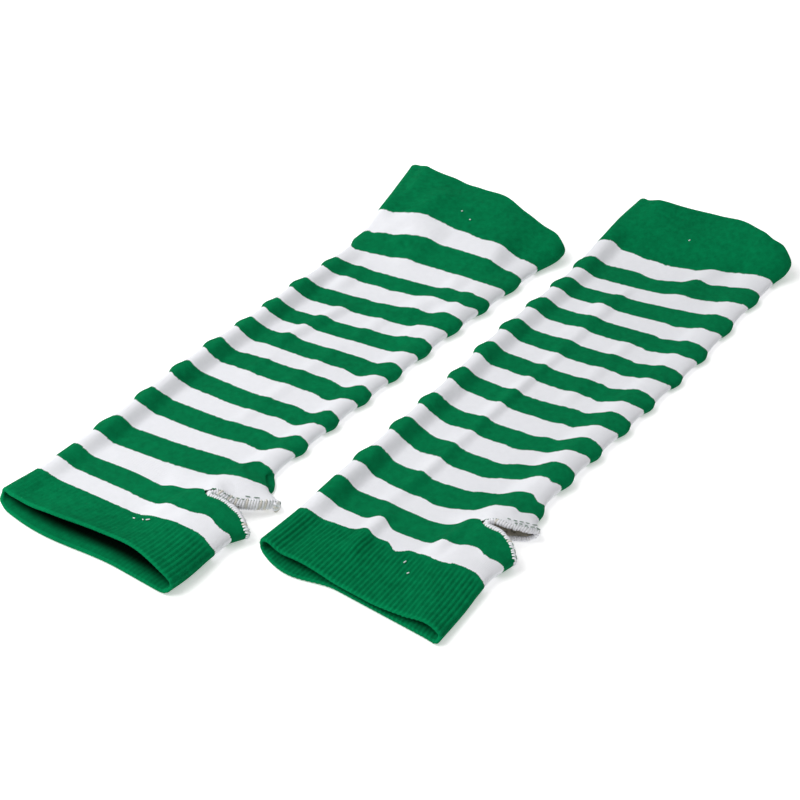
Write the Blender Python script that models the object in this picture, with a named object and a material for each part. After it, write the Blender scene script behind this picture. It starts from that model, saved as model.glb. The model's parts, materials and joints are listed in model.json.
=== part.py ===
"""Pair of long fingerless gloves, knitted in the round in green and white stripes.

The two gloves lie flat, side by side, hand ends towards -Y and arm ends towards +Y.
Each glove is one knitted tube pressed nearly flat, so its cloth lies in two layers that
meet at a rounded fold on each long side. Every ring of the tube follows one knitted
course, which runs across the glove at a slight slant. The tube is cut across at its
right fold for the thumb, and the cut's edges stand apart there.

Glove measures are in millimetres: u across the glove to the right, v along it from the
hand end to the arm end, z up from the surface that it lies on.
"""
import math
from collections import namedtuple

import bmesh
import bpy
from mathutils import Vector

MM = 0.001

# Cloth thicknesses
WALL = 1.2             # striped single knit
CUFF_WALL = 1.9        # doubled cuffs
LAYER_GAP = 0.5        # least space between the two layers
SEAM_GAP = 0.3         # space between neighbouring pieces
RIM_ROUND = 0.5        # rounding of a free edge

# Ribs of the hand cuff
RIB_COUNT = 50         # ribs over the top and both folds
RIB_DEPTH = 0.45       # valley below the crest

# Edging of the thumb slit
BINDING_WIDTH = 2.0
BINDING_HEIGHT = 1.7
BINDING_STEP = 2.4     # spacing of the edging's cross-sections
SLIT_START = 2.6       # half width of the slit at its inner end
SLIT_BLEND = 3.0       # length over which the cut opens to that width

# Points round a ring
TOP_POINTS = 19
CAP_ANGLES = (-90, -52, -18, 16, 52, 90)
BOTTOM_POINTS = 5
INNER_TOP_POINTS = 12
INNER_CAP_ANGLES = (-90, -30, 30, 90)
INNER_BOTTOM_POINTS = 3

GREEN = (0.002, 0.165, 0.058, 1.0)
WHITE = (0.80, 0.79, 0.84, 1.0)

# One row for each green stripe: where its two edges meet the left and the right fold,
# and how far the middle of each edge sags towards the hand
Stripe = namedtuple("Stripe", "left_from right_from sag_from left_to right_to sag_to")

# One knitted course: where it meets the two folds, and its sag towards the hand
Course = namedtuple("Course", "left right sag")

# One row for each cross-section along the glove:
# place of the two folds, heights of the cloth over them and over the middle,
# and the distance from the right ridge to the right fold
Section = namedtuple("Section", "at left right left_high middle right_high right_cap")

# The open rim at the hand: how far the lower layer reaches out and the upper one stays back
Mouth = namedtuple("Mouth", "lower_reach lower_u upper_back upper_u half_width")

# One row for each soft fold of the top layer
Fold = namedtuple("Fold", "v_from v_to u_from u_to half_width height")

# One row for each point of the slit's two lips, from the inner end out to the fold
Lip = namedtuple("Lip", "u hand_v arm_v")

Glove = namedtuple("Glove", "name place turn stripes sections folds lips mouth")

LEFT_STRIPES = (
    Stripe(-66.5, -66.5, 2.0, -48.5, -38.5, 0.0),
    Stripe(-37.5, -29.0, 1.0, -27.0, -22.0, -3.2),
    Stripe(-14.5, 6.5, 3.6, -1.5, 16.5, 1.2),
    Stripe(13.0, 30.5, 2.8, 24.5, 41.0, 2.2),
    Stripe(38.0, 52.5, 2.4, 49.0, 63.0, 2.4),
    Stripe(61.8, 75.3, 1.0, 72.3, 87.0, 0.4),
    Stripe(84.5, 98.7, 1.2, 94.5, 110.7, 1.2),
    Stripe(104.5, 121.5, 0.4, 113.8, 134.0, 0.8),
    Stripe(126.0, 145.3, 0.8, 136.0, 158.5, 0.0),
    Stripe(150.5, 169.0, -0.8, 160.5, 179.5, 0.4),
    Stripe(173.5, 191.5, -1.0, 188.0, 207.0, -1.2),
    Stripe(205.5, 220.0, -2.0, 257.0, 241.5, -3.0),
)

RIGHT_STRIPES = (
    Stripe(-73.0, -76.0, 2.5, -51.0, -39.5, -1.0),
    Stripe(-38.5, -30.0, 3.0, -26.0, -21.0, -1.0),
    Stripe(-12.5, 5.5, 8.5, 0.5, 17.0, 6.5),
    Stripe(15.3, 29.5, 7.2, 26.8, 40.5, 7.2),
    Stripe(38.0, 52.3, 5.0, 48.2, 63.3, 4.5),
    Stripe(62.0, 75.0, 3.2, 72.8, 87.0, 3.2),
    Stripe(86.2, 97.4, 1.8, 97.5, 108.5, 1.6),
    Stripe(109.5, 121.5, 1.6, 120.5, 133.2, 1.6),
    Stripe(133.0, 145.6, 0.8, 143.5, 157.3, 0.6),
    Stripe(155.0, 171.8, 1.2, 165.5, 186.0, 1.4),
    Stripe(176.5, 201.0, 2.6, 188.3, 214.8, 1.6),
    Stripe(206.5, 228.5, 5.0, 251.5, 245.5, -7.0),
)

LEFT_SECTIONS = (
    Section(-67, -45.0, 56.0, 9.0, 10.5, 12.6, 20.0),
    Section(-58, -44.5, 59.0, 8.5, 8.0, 12.0, 20.0),
    Section(-43, -43.5, 58.0, 7.5, 5.6, 11.0, 20.0),
    Section(-24, -43.0, 58.5, 8.0, 4.8, 12.0, 23.0),
    Section(4, -43.0, 42.5, 8.0, 3.2, 6.4, 9.0),
    Section(28, -44.0, 40.5, 8.0, 3.1, 5.8, 6.0),
    Section(51, -45.0, 40.5, 8.4, 3.1, 6.2, 5.5),
    Section(75, -45.2, 40.5, 8.6, 3.4, 6.2, 5.5),
    Section(98, -44.8, 40.8, 8.0, 3.2, 5.6, 5.5),
    Section(120, -44.5, 41.0, 8.6, 3.2, 6.0, 6.0),
    Section(142, -45.0, 41.5, 8.6, 3.4, 7.2, 8.0),
    Section(165, -44.0, 43.0, 8.6, 4.6, 8.0, 9.0),
    Section(188, -45.0, 43.5, 8.2, 8.0, 6.6, 8.0),
    Section(201, -46.5, 43.5, 10.0, 11.0, 6.6, 8.0),
    Section(215, -50.0, 45.0, 14.0, 12.6, 7.6, 10.0),
    Section(234, -58.0, 48.5, 12.0, 14.5, 11.5, 13.0),
    Section(250, -64.0, 48.5, 10.0, 14.8, 13.0, 13.0),
)

RIGHT_SECTIONS = (
    Section(-75, -44.5, 49.5, 7.8, 4.8, 4.8, 9.0),
    Section(-62, -44.0, 50.5, 7.8, 4.8, 6.0, 13.0),
    Section(-46, -43.5, 50.5, 7.8, 5.4, 8.0, 16.0),
    Section(-25, -44.0, 51.0, 8.4, 3.6, 12.0, 18.0),
    Section(4, -44.0, 41.5, 8.0, 3.0, 6.8, 9.5),
    Section(28, -44.2, 41.0, 7.6, 3.0, 8.2, 8.5),
    Section(51, -44.2, 41.5, 8.0, 3.0, 7.0, 8.5),
    Section(75, -44.5, 42.5, 7.6, 3.0, 6.4, 8.5),
    Section(98, -46.0, 43.0, 7.4, 3.0, 5.8, 8.5),
    Section(122, -46.5, 44.0, 7.2, 3.0, 4.8, 7.5),
    Section(145, -46.0, 44.5, 7.2, 3.2, 5.2, 7.5),
    Section(170, -45.5, 43.5, 7.2, 3.0, 5.0, 7.5),
    Section(195, -45.5, 43.0, 7.2, 3.0, 5.2, 7.5),
    Section(219, -48.0, 43.5, 7.6, 4.0, 6.4, 9.0),
    Section(234, -49.5, 46.0, 8.6, 10.0, 13.0, 11.0),
    Section(247, -49.5, 46.5, 9.4, 13.5, 16.5, 12.0),
)

LEFT_FOLDS = (
    Fold(-50, -20, 20, 26, 7.0, 1.6),
    Fold(60, 90, -17, -15, 5.0, 0.9),
    Fold(78, 96, 6, 4, 6.0, 0.8),
    Fold(104, 152, -19, -17, 6.0, 1.7),
    Fold(106, 150, 8, 7, 6.0, 0.9),
    Fold(146, 186, 24, 20, 7.0, 2.4),
    Fold(184, 214, -22, -16, 10.0, 2.6),
    Fold(200, 244, -28, -24, 13.0, 2.6),
)

RIGHT_FOLDS = (
    Fold(-100, -46, -24, -16, 20.0, 3.6),
    Fold(-66, -20, -8, -12, 6.0, 1.9),
    Fold(-48, -16, 19, 24, 6.0, 2.6),
    Fold(-30, 50, -15, -17, 6.0, 1.4),
    Fold(44, 98, -16, -14, 6.0, 1.2),
    Fold(76, 150, 9, 10, 6.0, 1.0),
    Fold(110, 176, -18, -17, 6.0, 1.3),
    Fold(182, 214, 12, 9, 6.0, 2.0),
)

LEFT_MOUTH = Mouth(5.0, -24.0, 6.0, 28.0, 34.0)
RIGHT_MOUTH = Mouth(5.0, -24.0, 0.0, 0.0, 30.0)

LEFT_LIPS = (
    Lip(33.0, -15.5, -15.5),
    Lip(41.0, -18.5, -11.5),
    Lip(47.0, -19.5, -8.5),
    Lip(52.0, -21.0, -4.5),
    Lip(56.0, -23.0, 1.0),
    Lip(59.0, -24.5, 5.5),
)

RIGHT_LIPS = (
    Lip(30.0, -14.8, -14.8),
    Lip(36.0, -17.0, -11.0),
    Lip(41.0, -18.0, -8.0),
    Lip(46.0, -20.0, -4.5),
    Lip(49.0, -22.5, 0.5),
    Lip(51.5, -25.0, 3.5),
)

# Where each glove lies, so that the box round the pair is centred over the origin,
# and how many degrees it is turned
GLOVES = (
    Glove(
        "left", (-49.86, -117.66), -0.65,
        LEFT_STRIPES, LEFT_SECTIONS, LEFT_FOLDS, LEFT_LIPS, LEFT_MOUTH,
    ),
    Glove(
        "right", (58.84, -65.76), 0.65,
        RIGHT_STRIPES, RIGHT_SECTIONS, RIGHT_FOLDS, RIGHT_LIPS, RIGHT_MOUTH,
    ),
)


def clear_scene():
    for old in list(bpy.data.objects):
        bpy.data.objects.remove(old, do_unlink=True)


def make_material(name, colour):
    material = bpy.data.materials.new(name)
    material.use_nodes = True
    shader = material.node_tree.nodes["Principled BSDF"]
    shader.inputs["Base Color"].default_value = colour
    shader.inputs["Roughness"].default_value = 0.9
    shader.inputs["Metallic"].default_value = 0.0
    material.diffuse_color = colour
    return material


def mix(a, b, t):
    return a + (b - a) * t


def ease(t):
    """Smooth step from 0 to 1."""
    t = min(1.0, max(0.0, t))
    return t * t * (3.0 - 2.0 * t)


def bump(distance):
    """Smooth hill that is 1 at its middle and 0 from a distance of 1."""
    return 0.5 + 0.5 * math.cos(math.pi * min(1.0, abs(distance)))


def soft_floor(value, least):
    """The value, kept above the least by a rounded transition."""
    round_over = 0.5
    return least + 0.5 * ((value - least) + math.hypot(value - least, round_over))


def read_section(sections, at):
    """Section at any place along the glove, by a smooth curve through the rows."""
    rows = sections
    if at <= rows[0].at:
        return rows[0]._replace(at=at)
    if at >= rows[-1].at:
        return rows[-1]._replace(at=at)
    k = 0
    while rows[k + 1].at < at:
        k += 1
    before = rows[max(k - 1, 0)]
    start = rows[k]
    end = rows[k + 1]
    after = rows[min(k + 2, len(rows) - 1)]
    span = end.at - start.at
    t = (at - start.at) / span
    values = [at]
    for column in range(1, len(start)):
        slope_in = (end[column] - before[column]) / max(end.at - before.at, 1.0) * span
        slope_out = (after[column] - start[column]) / max(after.at - start.at, 1.0) * span
        h00 = 2 * t ** 3 - 3 * t ** 2 + 1
        h10 = t ** 3 - 2 * t ** 2 + t
        h01 = -2 * t ** 3 + 3 * t ** 2
        h11 = t ** 3 - t ** 2
        values.append(h00 * start[column] + h10 * slope_in + h01 * end[column] + h11 * slope_out)
    return Section(*values)


def fold_height(folds, u, at):
    total = 0.0
    for fold in folds:
        middle = 0.5 * (fold.v_from + fold.v_to)
        half = 0.5 * (fold.v_to - fold.v_from)
        if abs(at - middle) >= half:
            continue
        t = (at - fold.v_from) / (2.0 * half)
        line = mix(fold.u_from, fold.u_to, t)
        total += fold.height * bump((at - middle) / half) ** 0.7 * bump((u - line) / fold.half_width)
    return total


def left_cap(section):
    return min(5.2, 0.75 * section.left_high)


def top_height(glove, section, u):
    """Height of the top layer's outer side between the two ridges."""
    left_ridge = section.left + left_cap(section)
    right_ridge = section.right - section.right_cap
    fall = 9.0
    rise = 3.0 + 1.1 * section.right_cap
    from_left = bump((u - left_ridge) / fall)
    from_right = bump((right_ridge - u) / rise)
    height = section.middle
    height += (section.left_high - section.middle) * from_left
    height += (section.right_high - section.middle) * from_right
    edge = min((u - left_ridge) / 8.0, (right_ridge - u) / 8.0, 1.0)
    height += fold_height(glove.folds, u, section.at) * ease(edge)
    return soft_floor(height, 2 * WALL + LAYER_GAP)


def flattened_section(glove, at):
    """Section with its two ridge heights set to what the top layer really has there."""
    section = read_section(glove.sections, at)
    left_ridge = section.left + left_cap(section)
    right_ridge = section.right - section.right_cap
    left_high = top_height(glove, section, left_ridge)
    right_high = top_height(glove, section, right_ridge)
    return section, left_high, right_high


def outline(glove, at, inset, top_points, cap_angles, bottom_points):
    """Ring of (u, z) points: along the bottom, up the right fold, back over the top, down."""
    section, left_high, right_high = flattened_section(glove, at)
    points = []
    left_round = left_cap(section)
    left_base = 0.5 * left_high
    right_base = min(0.5 * right_high, section.right_cap)
    start = section.left + left_base
    end = section.right - right_base
    for k in range(bottom_points):
        t = (k + 1) / (bottom_points + 1)
        points.append((mix(start, end, t), inset))

    def cap(edge, sign, upper, lower, high, angle):
        reach = (upper if angle > 0 else lower) - inset
        a = math.radians(angle)
        middle = edge - sign * (upper if angle > 0 else lower)
        return (middle + sign * reach * math.cos(a), 0.5 * high + (0.5 * high - inset) * math.sin(a))

    for angle in cap_angles:
        points.append(cap(section.right, 1, section.right_cap, right_base, right_high, angle))
    left_ridge = section.left + left_round
    right_ridge = section.right - section.right_cap
    for k in range(top_points):
        t = (k + 1) / (top_points + 1)
        u = mix(right_ridge, left_ridge, t)
        high = top_height(glove, section, u)
        step = 0.2
        slope = (top_height(glove, section, u + step) - top_height(glove, section, u - step)) / (2 * step)
        points.append((u, high - inset * math.hypot(1.0, slope)))
    for angle in reversed(cap_angles):
        points.append(cap(section.left, -1, left_round, left_base, left_high, angle))
    return points


def ribbed_outline(glove, at, depth):
    """Outer ring of the hand cuff: rib crests and valleys over the top, plain below."""
    plain = outline(glove, at, 0.0, 60, range(-90, 91, 10), 0)
    lengths = [0.0]
    for a, b in zip(plain, plain[1:]):
        lengths.append(lengths[-1] + math.dist(a, b))
    total = lengths[-1]
    points = []
    section = read_section(glove.sections, at)
    start = section.left + 5.0
    end = section.right - 6.0
    for k in range(BOTTOM_POINTS):
        points.append((mix(start, end, (k + 0.5) / BOTTOM_POINTS), 0.0))
    count = 2 * RIB_COUNT + 1
    k = 0
    for j in range(count):
        reach = total * (0.012 + 0.976 * j / (count - 1))
        while k < len(lengths) - 2 and lengths[k + 1] < reach:
            k += 1
        t = (reach - lengths[k]) / (lengths[k + 1] - lengths[k])
        u = mix(plain[k][0], plain[k + 1][0], t)
        z = mix(plain[k][1], plain[k + 1][1], t)
        run = plain[k + 1][0] - plain[k][0]
        climb = plain[k + 1][1] - plain[k][1]
        size = math.hypot(run, climb)
        sink = depth if j % 2 else 0.0
        sink *= ease((z - 0.8) / 1.6)
        points.append((u - sink * climb / size, z + sink * run / size))
    return points


def course_v(u, section, course):
    """Place along the glove where a course passes the distance u across it."""
    t = (u - section.left) / (section.right - section.left)
    sag = course.sag * bump((u + 1.0) / 38.0)
    return mix(course.left, course.right, min(1.0, max(0.0, t))) - sag


def between(a, b, t):
    """Course between two others."""
    return Course(*(mix(p, q, t) for p, q in zip(a, b)))


def start_of(stripe):
    return Course(stripe.left_from, stripe.right_from, stripe.sag_from)


def end_of(stripe):
    return Course(stripe.left_to, stripe.right_to, stripe.sag_to)


def read_lip(glove, u, column):
    rows = glove.lips
    if u >= rows[-1].u:
        return rows[-1][column]
    for a, b in zip(rows, rows[1:]):
        if u <= b.u:
            t = ease((u - a.u) / (b.u - a.u)) * 0.35 + (u - a.u) / (b.u - a.u) * 0.65
            return mix(a[column], b[column], t)
    return rows[-1][column]


def slit_v(glove, u, section, side):
    """Edge of the cut course: the plain course on the left, the open lip on the right."""
    stripe = glove.stripes[1]
    inner = glove.lips[0].u
    approach = glove.lips[0].hand_v
    plain = course_v(min(u, inner), section, end_of(stripe))
    rise = ease((min(u, inner) - (inner - 26.0)) / 26.0)
    plain = mix(plain, approach, rise)
    if u <= inner - SLIT_BLEND:
        return plain + side * 0.5 * SEAM_GAP
    column = 1 if side < 0 else 2
    if u <= inner:
        t = ease((u - inner + SLIT_BLEND) / SLIT_BLEND)
        return plain + side * mix(0.5 * SEAM_GAP, SLIT_START, t)
    lip = read_lip(glove, u, column)
    away = side * SLIT_START * (1.0 - ease((u - inner) / 10.0))
    return lip + away


def zipper(bm, first, second, material):
    """Triangles between two closed rings of vertices, always across the shorter diagonal."""
    start = min(range(len(second)), key=lambda k: (second[k].co - first[0].co).length)
    second = second[start:] + second[:start]
    n = len(first)
    m = len(second)
    i = 0
    j = 0
    while i < n or j < m:
        a = first[i % n]
        b = second[j % m]
        next_a = first[(i + 1) % n]
        next_b = second[(j + 1) % m]
        take_first = (next_a.co - b.co).length <= (next_b.co - a.co).length
        if j >= m or (i < n and take_first):
            face = bm.faces.new((a, next_a, b))
            i += 1
        else:
            face = bm.faces.new((a, next_b, b))
            j += 1
        face.material_index = material


def skin(bm, rings, shades):
    """Quads between neighbouring rings, each band in its own colour."""
    made = []
    for ring in rings:
        made.append([bm.verts.new(point) for point in ring])
    for k in range(len(made) - 1):
        a = made[k]
        b = made[k + 1]
        for i in range(len(a)):
            j = (i + 1) % len(a)
            face = bm.faces.new((a[i], a[j], b[j], b[i]))
            face.material_index = shades[k]
    return made


def finish_object(name, bm, materials, sharp_angle=50.0):
    bmesh.ops.triangulate(bm, faces=[f for f in bm.faces if len(f.verts) > 4])
    bmesh.ops.recalc_face_normals(bm, faces=bm.faces)
    mesh = bpy.data.meshes.new(name)
    bm.to_mesh(mesh)
    bm.free()
    for material in materials:
        mesh.materials.append(material)
    mesh.shade_smooth()
    mesh.set_sharp_from_angle(angle=math.radians(sharp_angle))
    piece = bpy.data.objects.new(name, mesh)
    bpy.context.scene.collection.objects.link(piece)
    return piece


def place_point(glove, u, v, z):
    """Glove measures to the pair's own frame, in metres."""
    a = math.radians(glove.turn)
    x = u * math.cos(a) - v * math.sin(a) + glove.place[0]
    y = u * math.sin(a) + v * math.cos(a) + glove.place[1]
    return (x * MM, y * MM, max(z, 0.0) * MM)


def station(course):
    """Where a course is looked up in the table of sections."""
    return 0.5 * (course.left + course.right)


def ring_points(glove, profile, course, shift=0.0):
    """Ring of placed points along one course."""
    section = read_section(glove.sections, station(course))
    return [place_point(glove, u, course_v(u, section, course) + shift, z) for u, z in profile]


def mouth_points(glove, profile, course, strength):
    """Ring near the open rim at the hand, its lower part moved out and its upper part back."""
    section = read_section(glove.sections, station(course))
    mouth = glove.mouth
    ring = []
    for u, z in profile:
        upper = ease((z - 1.5) / 3.0)
        v = course_v(u, section, course)
        v -= strength * mouth.lower_reach * bump((u - mouth.lower_u) / mouth.half_width) * (1.0 - upper)
        v += strength * mouth.upper_back * bump((u - mouth.upper_u) / mouth.half_width) * upper
        ring.append(place_point(glove, u, v, z))
    return ring


def plain_profiles(glove, at, wall):
    outer = outline(glove, at, 0.0, TOP_POINTS, CAP_ANGLES, BOTTOM_POINTS)
    inner = outline(glove, at, wall, TOP_POINTS, CAP_ANGLES, BOTTOM_POINTS)
    return outer, inner


def build_hand_cuff(glove, green):
    """Ribbed green cuff with an open mouth at the hand end."""
    stripe = glove.stripes[0]
    bm = bmesh.new()
    outer_rings = []
    inner_rings = []
    steps = (0.0, 0.03, 0.30, 0.65, 1.0)
    for k, t in enumerate(steps):
        course = between(start_of(stripe), end_of(stripe), t)
        at = station(course)
        section = read_section(glove.sections, at)
        rim = RIM_ROUND if k == 0 else 0.0
        outer = ribbed_outline(glove, at, RIB_DEPTH)
        if rim:
            middle = 0.5 * (section.left + section.right)
            narrow = 1.0 - rim / (0.5 * (section.right - section.left))
            outer = [(middle + (u - middle) * narrow, z + rim if z < 1.0 else z - rim) for u, z in outer]
        inner = outline(glove, at, CUFF_WALL - rim, INNER_TOP_POINTS, INNER_CAP_ANGLES, INNER_BOTTOM_POINTS)
        if k == len(steps) - 1:
            outer_rings.append(ring_points(glove, outer, course, -0.5 * SEAM_GAP))
            inner_rings.append(ring_points(glove, inner, course, -0.5 * SEAM_GAP))
        else:
            strength = (1.0 - t) ** 2
            outer_rings.append(mouth_points(glove, outer, course, strength))
            inner_rings.append(mouth_points(glove, inner, course, strength))
    bands = [0] * (len(steps) - 1)
    outside = skin(bm, outer_rings, bands)
    inside = skin(bm, inner_rings, bands)
    zipper(bm, outside[0], inside[0], 0)
    zipper(bm, outside[-1], inside[-1], 0)
    return finish_object(glove.name + "_hand_cuff", bm, [green])


def build_arm_cuff(glove, green):
    """Plain green cuff with an open mouth at the arm end."""
    stripe = glove.stripes[-1]
    bm = bmesh.new()
    outer_rings = []
    inner_rings = []
    steps = (0.0, 0.16, 0.34, 0.52, 0.70, 0.86, 0.985, 1.0)
    for k, t in enumerate(steps):
        course = between(start_of(stripe), end_of(stripe), t)
        at = station(course)
        rim = RIM_ROUND if k == len(steps) - 1 else 0.0
        shift = 0.5 * SEAM_GAP if k == 0 else 0.0
        outer = outline(glove, at, rim, TOP_POINTS, CAP_ANGLES, BOTTOM_POINTS)
        inner = outline(glove, at, CUFF_WALL - rim, TOP_POINTS, CAP_ANGLES, BOTTOM_POINTS)
        outer_rings.append(ring_points(glove, outer, course, shift))
        inner_rings.append(ring_points(glove, inner, course, shift))
    bands = [0] * (len(steps) - 1)
    outside = skin(bm, outer_rings, bands)
    inside = skin(bm, inner_rings, bands)
    zipper(bm, outside[0], inside[0], 0)
    zipper(bm, outside[-1], inside[-1], 0)
    return finish_object(glove.name + "_arm_cuff", bm, [green])


def lip_rings(glove, at, side):
    """Outer and inner ring of a cut edge, square to the cloth."""
    section = read_section(glove.sections, at)
    outer_ring = []
    inner_ring = []
    for (u, z), (inner_u, inner_z) in zip(*plain_profiles(glove, at, WALL)):
        v = slit_v(glove, u, section, side)
        outer_ring.append(place_point(glove, u, v, z))
        inner_ring.append(place_point(glove, inner_u, v, inner_z))
    return outer_ring, inner_ring


def build_palm_band(glove, green, white):
    """Band between the hand cuff and the thumb slit: one white and one green stripe."""
    edge = end_of(glove.stripes[0])
    stripe = glove.stripes[1]
    bm = bmesh.new()
    outer_rings = []
    inner_rings = []
    rows = (
        (edge, 0.5 * SEAM_GAP),
        (between(edge, start_of(stripe), 0.5), 0.0),
        (start_of(stripe), 0.0),
    )
    for course, shift in rows:
        outer, inner = plain_profiles(glove, station(course), WALL)
        outer_rings.append(ring_points(glove, outer, course, shift))
        inner_rings.append(ring_points(glove, inner, course, shift))
    lip_outer, lip_inner = lip_rings(glove, station(end_of(stripe)), -1)
    outer_rings.append(halfway(outer_rings[-1], lip_outer))
    inner_rings.append(halfway(inner_rings[-1], lip_inner))
    outer_rings.append(lip_outer)
    inner_rings.append(lip_inner)
    bands = [1, 1, 0, 0]
    outside = skin(bm, outer_rings, bands)
    inside = skin(bm, inner_rings, bands)
    zipper(bm, outside[0], inside[0], 1)
    zipper(bm, outside[-1], inside[-1], 0)
    return finish_object(glove.name + "_palm_band", bm, [green, white])


def halfway(first, second):
    return [tuple(0.5 * (p + q) for p, q in zip(a, b)) for a, b in zip(first, second)]


def build_sleeve(glove, green, white):
    """Striped tube from the thumb slit to the arm cuff."""
    rows = []
    for stripe in glove.stripes[2:-1]:
        rows.append((start_of(stripe), 0))
        rows.append((end_of(stripe), 1))
    rows.append((start_of(glove.stripes[-1]), 0))
    bm = bmesh.new()
    outer_rings = []
    inner_rings = []
    bands = []
    lip_outer, lip_inner = lip_rings(glove, station(end_of(glove.stripes[1])), 1)
    first = rows[0][0]
    outer, inner = plain_profiles(glove, station(first), WALL)
    ring_outer = ring_points(glove, outer, first)
    ring_inner = ring_points(glove, inner, first)
    for t in (0.0, 0.22, 0.48, 0.76):
        outer_rings.append(flared(lip_outer, ring_outer, t))
        inner_rings.append(flared(lip_inner, ring_inner, t))
        bands.append(1)
    for k, (course, shade) in enumerate(rows):
        last = k == len(rows) - 1
        outer, inner = plain_profiles(glove, station(course), WALL)
        shift = -0.5 * SEAM_GAP if last else 0.0
        outer_rings.append(ring_points(glove, outer, course, shift))
        inner_rings.append(ring_points(glove, inner, course, shift))
        if last:
            break
        bands.append(shade)
        if shade:
            middle = between(course, rows[k + 1][0], 0.5)
            outer, inner = plain_profiles(glove, station(middle), WALL)
            outer_rings.append(ring_points(glove, outer, middle))
            inner_rings.append(ring_points(glove, inner, middle))
            bands.append(shade)
    outside = skin(bm, outer_rings, bands)
    inside = skin(bm, inner_rings, bands)
    zipper(bm, outside[0], inside[0], 1)
    zipper(bm, outside[-1], inside[-1], 1)
    return finish_object(glove.name + "_sleeve", bm, [green, white])


def flared(lip, ring, t):
    """Ring between the lip and the first stripe, drawn in quickly from the flared lip."""
    across = 1.0 - (1.0 - t) ** 1.8
    return [(mix(a[0], b[0], across), mix(a[1], b[1], t), mix(a[2], b[2], t)) for a, b in zip(lip, ring)]


def build_binding(glove, white):
    """Overlocked white edging that runs round the thumb slit, over the fold and back below."""
    stripe = glove.stripes[1]
    at = station(end_of(stripe))
    section = read_section(glove.sections, at)
    reach = SEAM_GAP + 0.5 * BINDING_WIDTH
    outer, inner = plain_profiles(glove, at, WALL)
    path = []
    for side in (-1, 1):
        corners = []
        for (u, z), (inner_u, inner_z) in zip(outer, inner):
            v = slit_v(glove, u, section, side)
            outward = Vector((u - inner_u, 0.0, z - inner_z)).normalized()
            corners.append((Vector((0.5 * (u + inner_u), v, 0.5 * (z + inner_z))), outward))
        line = []
        for (a, up_a), (b, up_b) in zip(corners, corners[1:]):
            steps = max(1, round((b - a).length / BINDING_STEP))
            for j in range(steps):
                t = j / steps
                along = (b - a).normalized()
                line.append((a.lerp(b, t), up_a.lerp(up_b, t).normalized(), along))
        part = []
        for k, (point, outward, along) in enumerate(line):
            if point.x < glove.lips[0].u + reach + 1.0:
                continue
            along = (along + line[k - 1][2]).normalized()
            aside = outward.cross(along).normalized()
            if aside.y * side > 0:
                aside.negate()
            part.append((point + aside * reach, outward))
        if side > 0:
            part.reverse()
        last_point, last_up = part[-1]
        turn_u = glove.lips[0].u + 1.0
        part.append((Vector((turn_u, slit_middle(glove, turn_u, section), last_point.z)), last_up))
        path += part
    bm = bmesh.new()
    made = []
    count = len(path)
    for k, (point, outward) in enumerate(path):
        along = (path[(k + 1) % count][0] - path[k - 1][0]).normalized()
        aside = outward.cross(along).normalized()
        up = along.cross(aside).normalized()
        ring = []
        for j in range(6):
            a = math.radians(60 * j)
            shift = aside * (0.5 * BINDING_WIDTH * math.cos(a)) + up * (0.5 * BINDING_HEIGHT * math.sin(a))
            ring.append(bm.verts.new(place_point(glove, *(point + shift))))
        made.append(ring)
    for k in range(count):
        a = made[k]
        b = made[(k + 1) % count]
        for i in range(6):
            j = (i + 1) % 6
            bm.faces.new((a[i], a[j], b[j], b[i]))
    return finish_object(glove.name + "_thumb_binding", bm, [white])


def slit_middle(glove, u, section):
    return 0.5 * (slit_v(glove, u, section, -1) + slit_v(glove, u, section, 1))


def main():
    clear_scene()
    green = make_material("green_knit", GREEN)
    white = make_material("white_knit", WHITE)
    for glove in GLOVES:
        frame = bpy.data.objects.new(glove.name + "_glove", None)
        bpy.context.scene.collection.objects.link(frame)
        pieces = (
            build_hand_cuff(glove, green),
            build_palm_band(glove, green, white),
            build_sleeve(glove, green, white),
            build_arm_cuff(glove, green),
            build_binding(glove, white),
        )
        for piece in pieces:
            piece.parent = frame


main()
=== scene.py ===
"""Pair of long fingerless gloves in green and white striped knit, lying flat on a pale table.

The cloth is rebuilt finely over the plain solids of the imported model: striped sleeves and
palm bands, ribbed hand cuffs, plain arm cuffs and the overlocked edges of the thumb slits.
Glove measures are in millimetres: u across a glove to the right, v along it from the hand
end to the arm end, z up from the table.
"""

import json
import math
from collections import namedtuple

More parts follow.
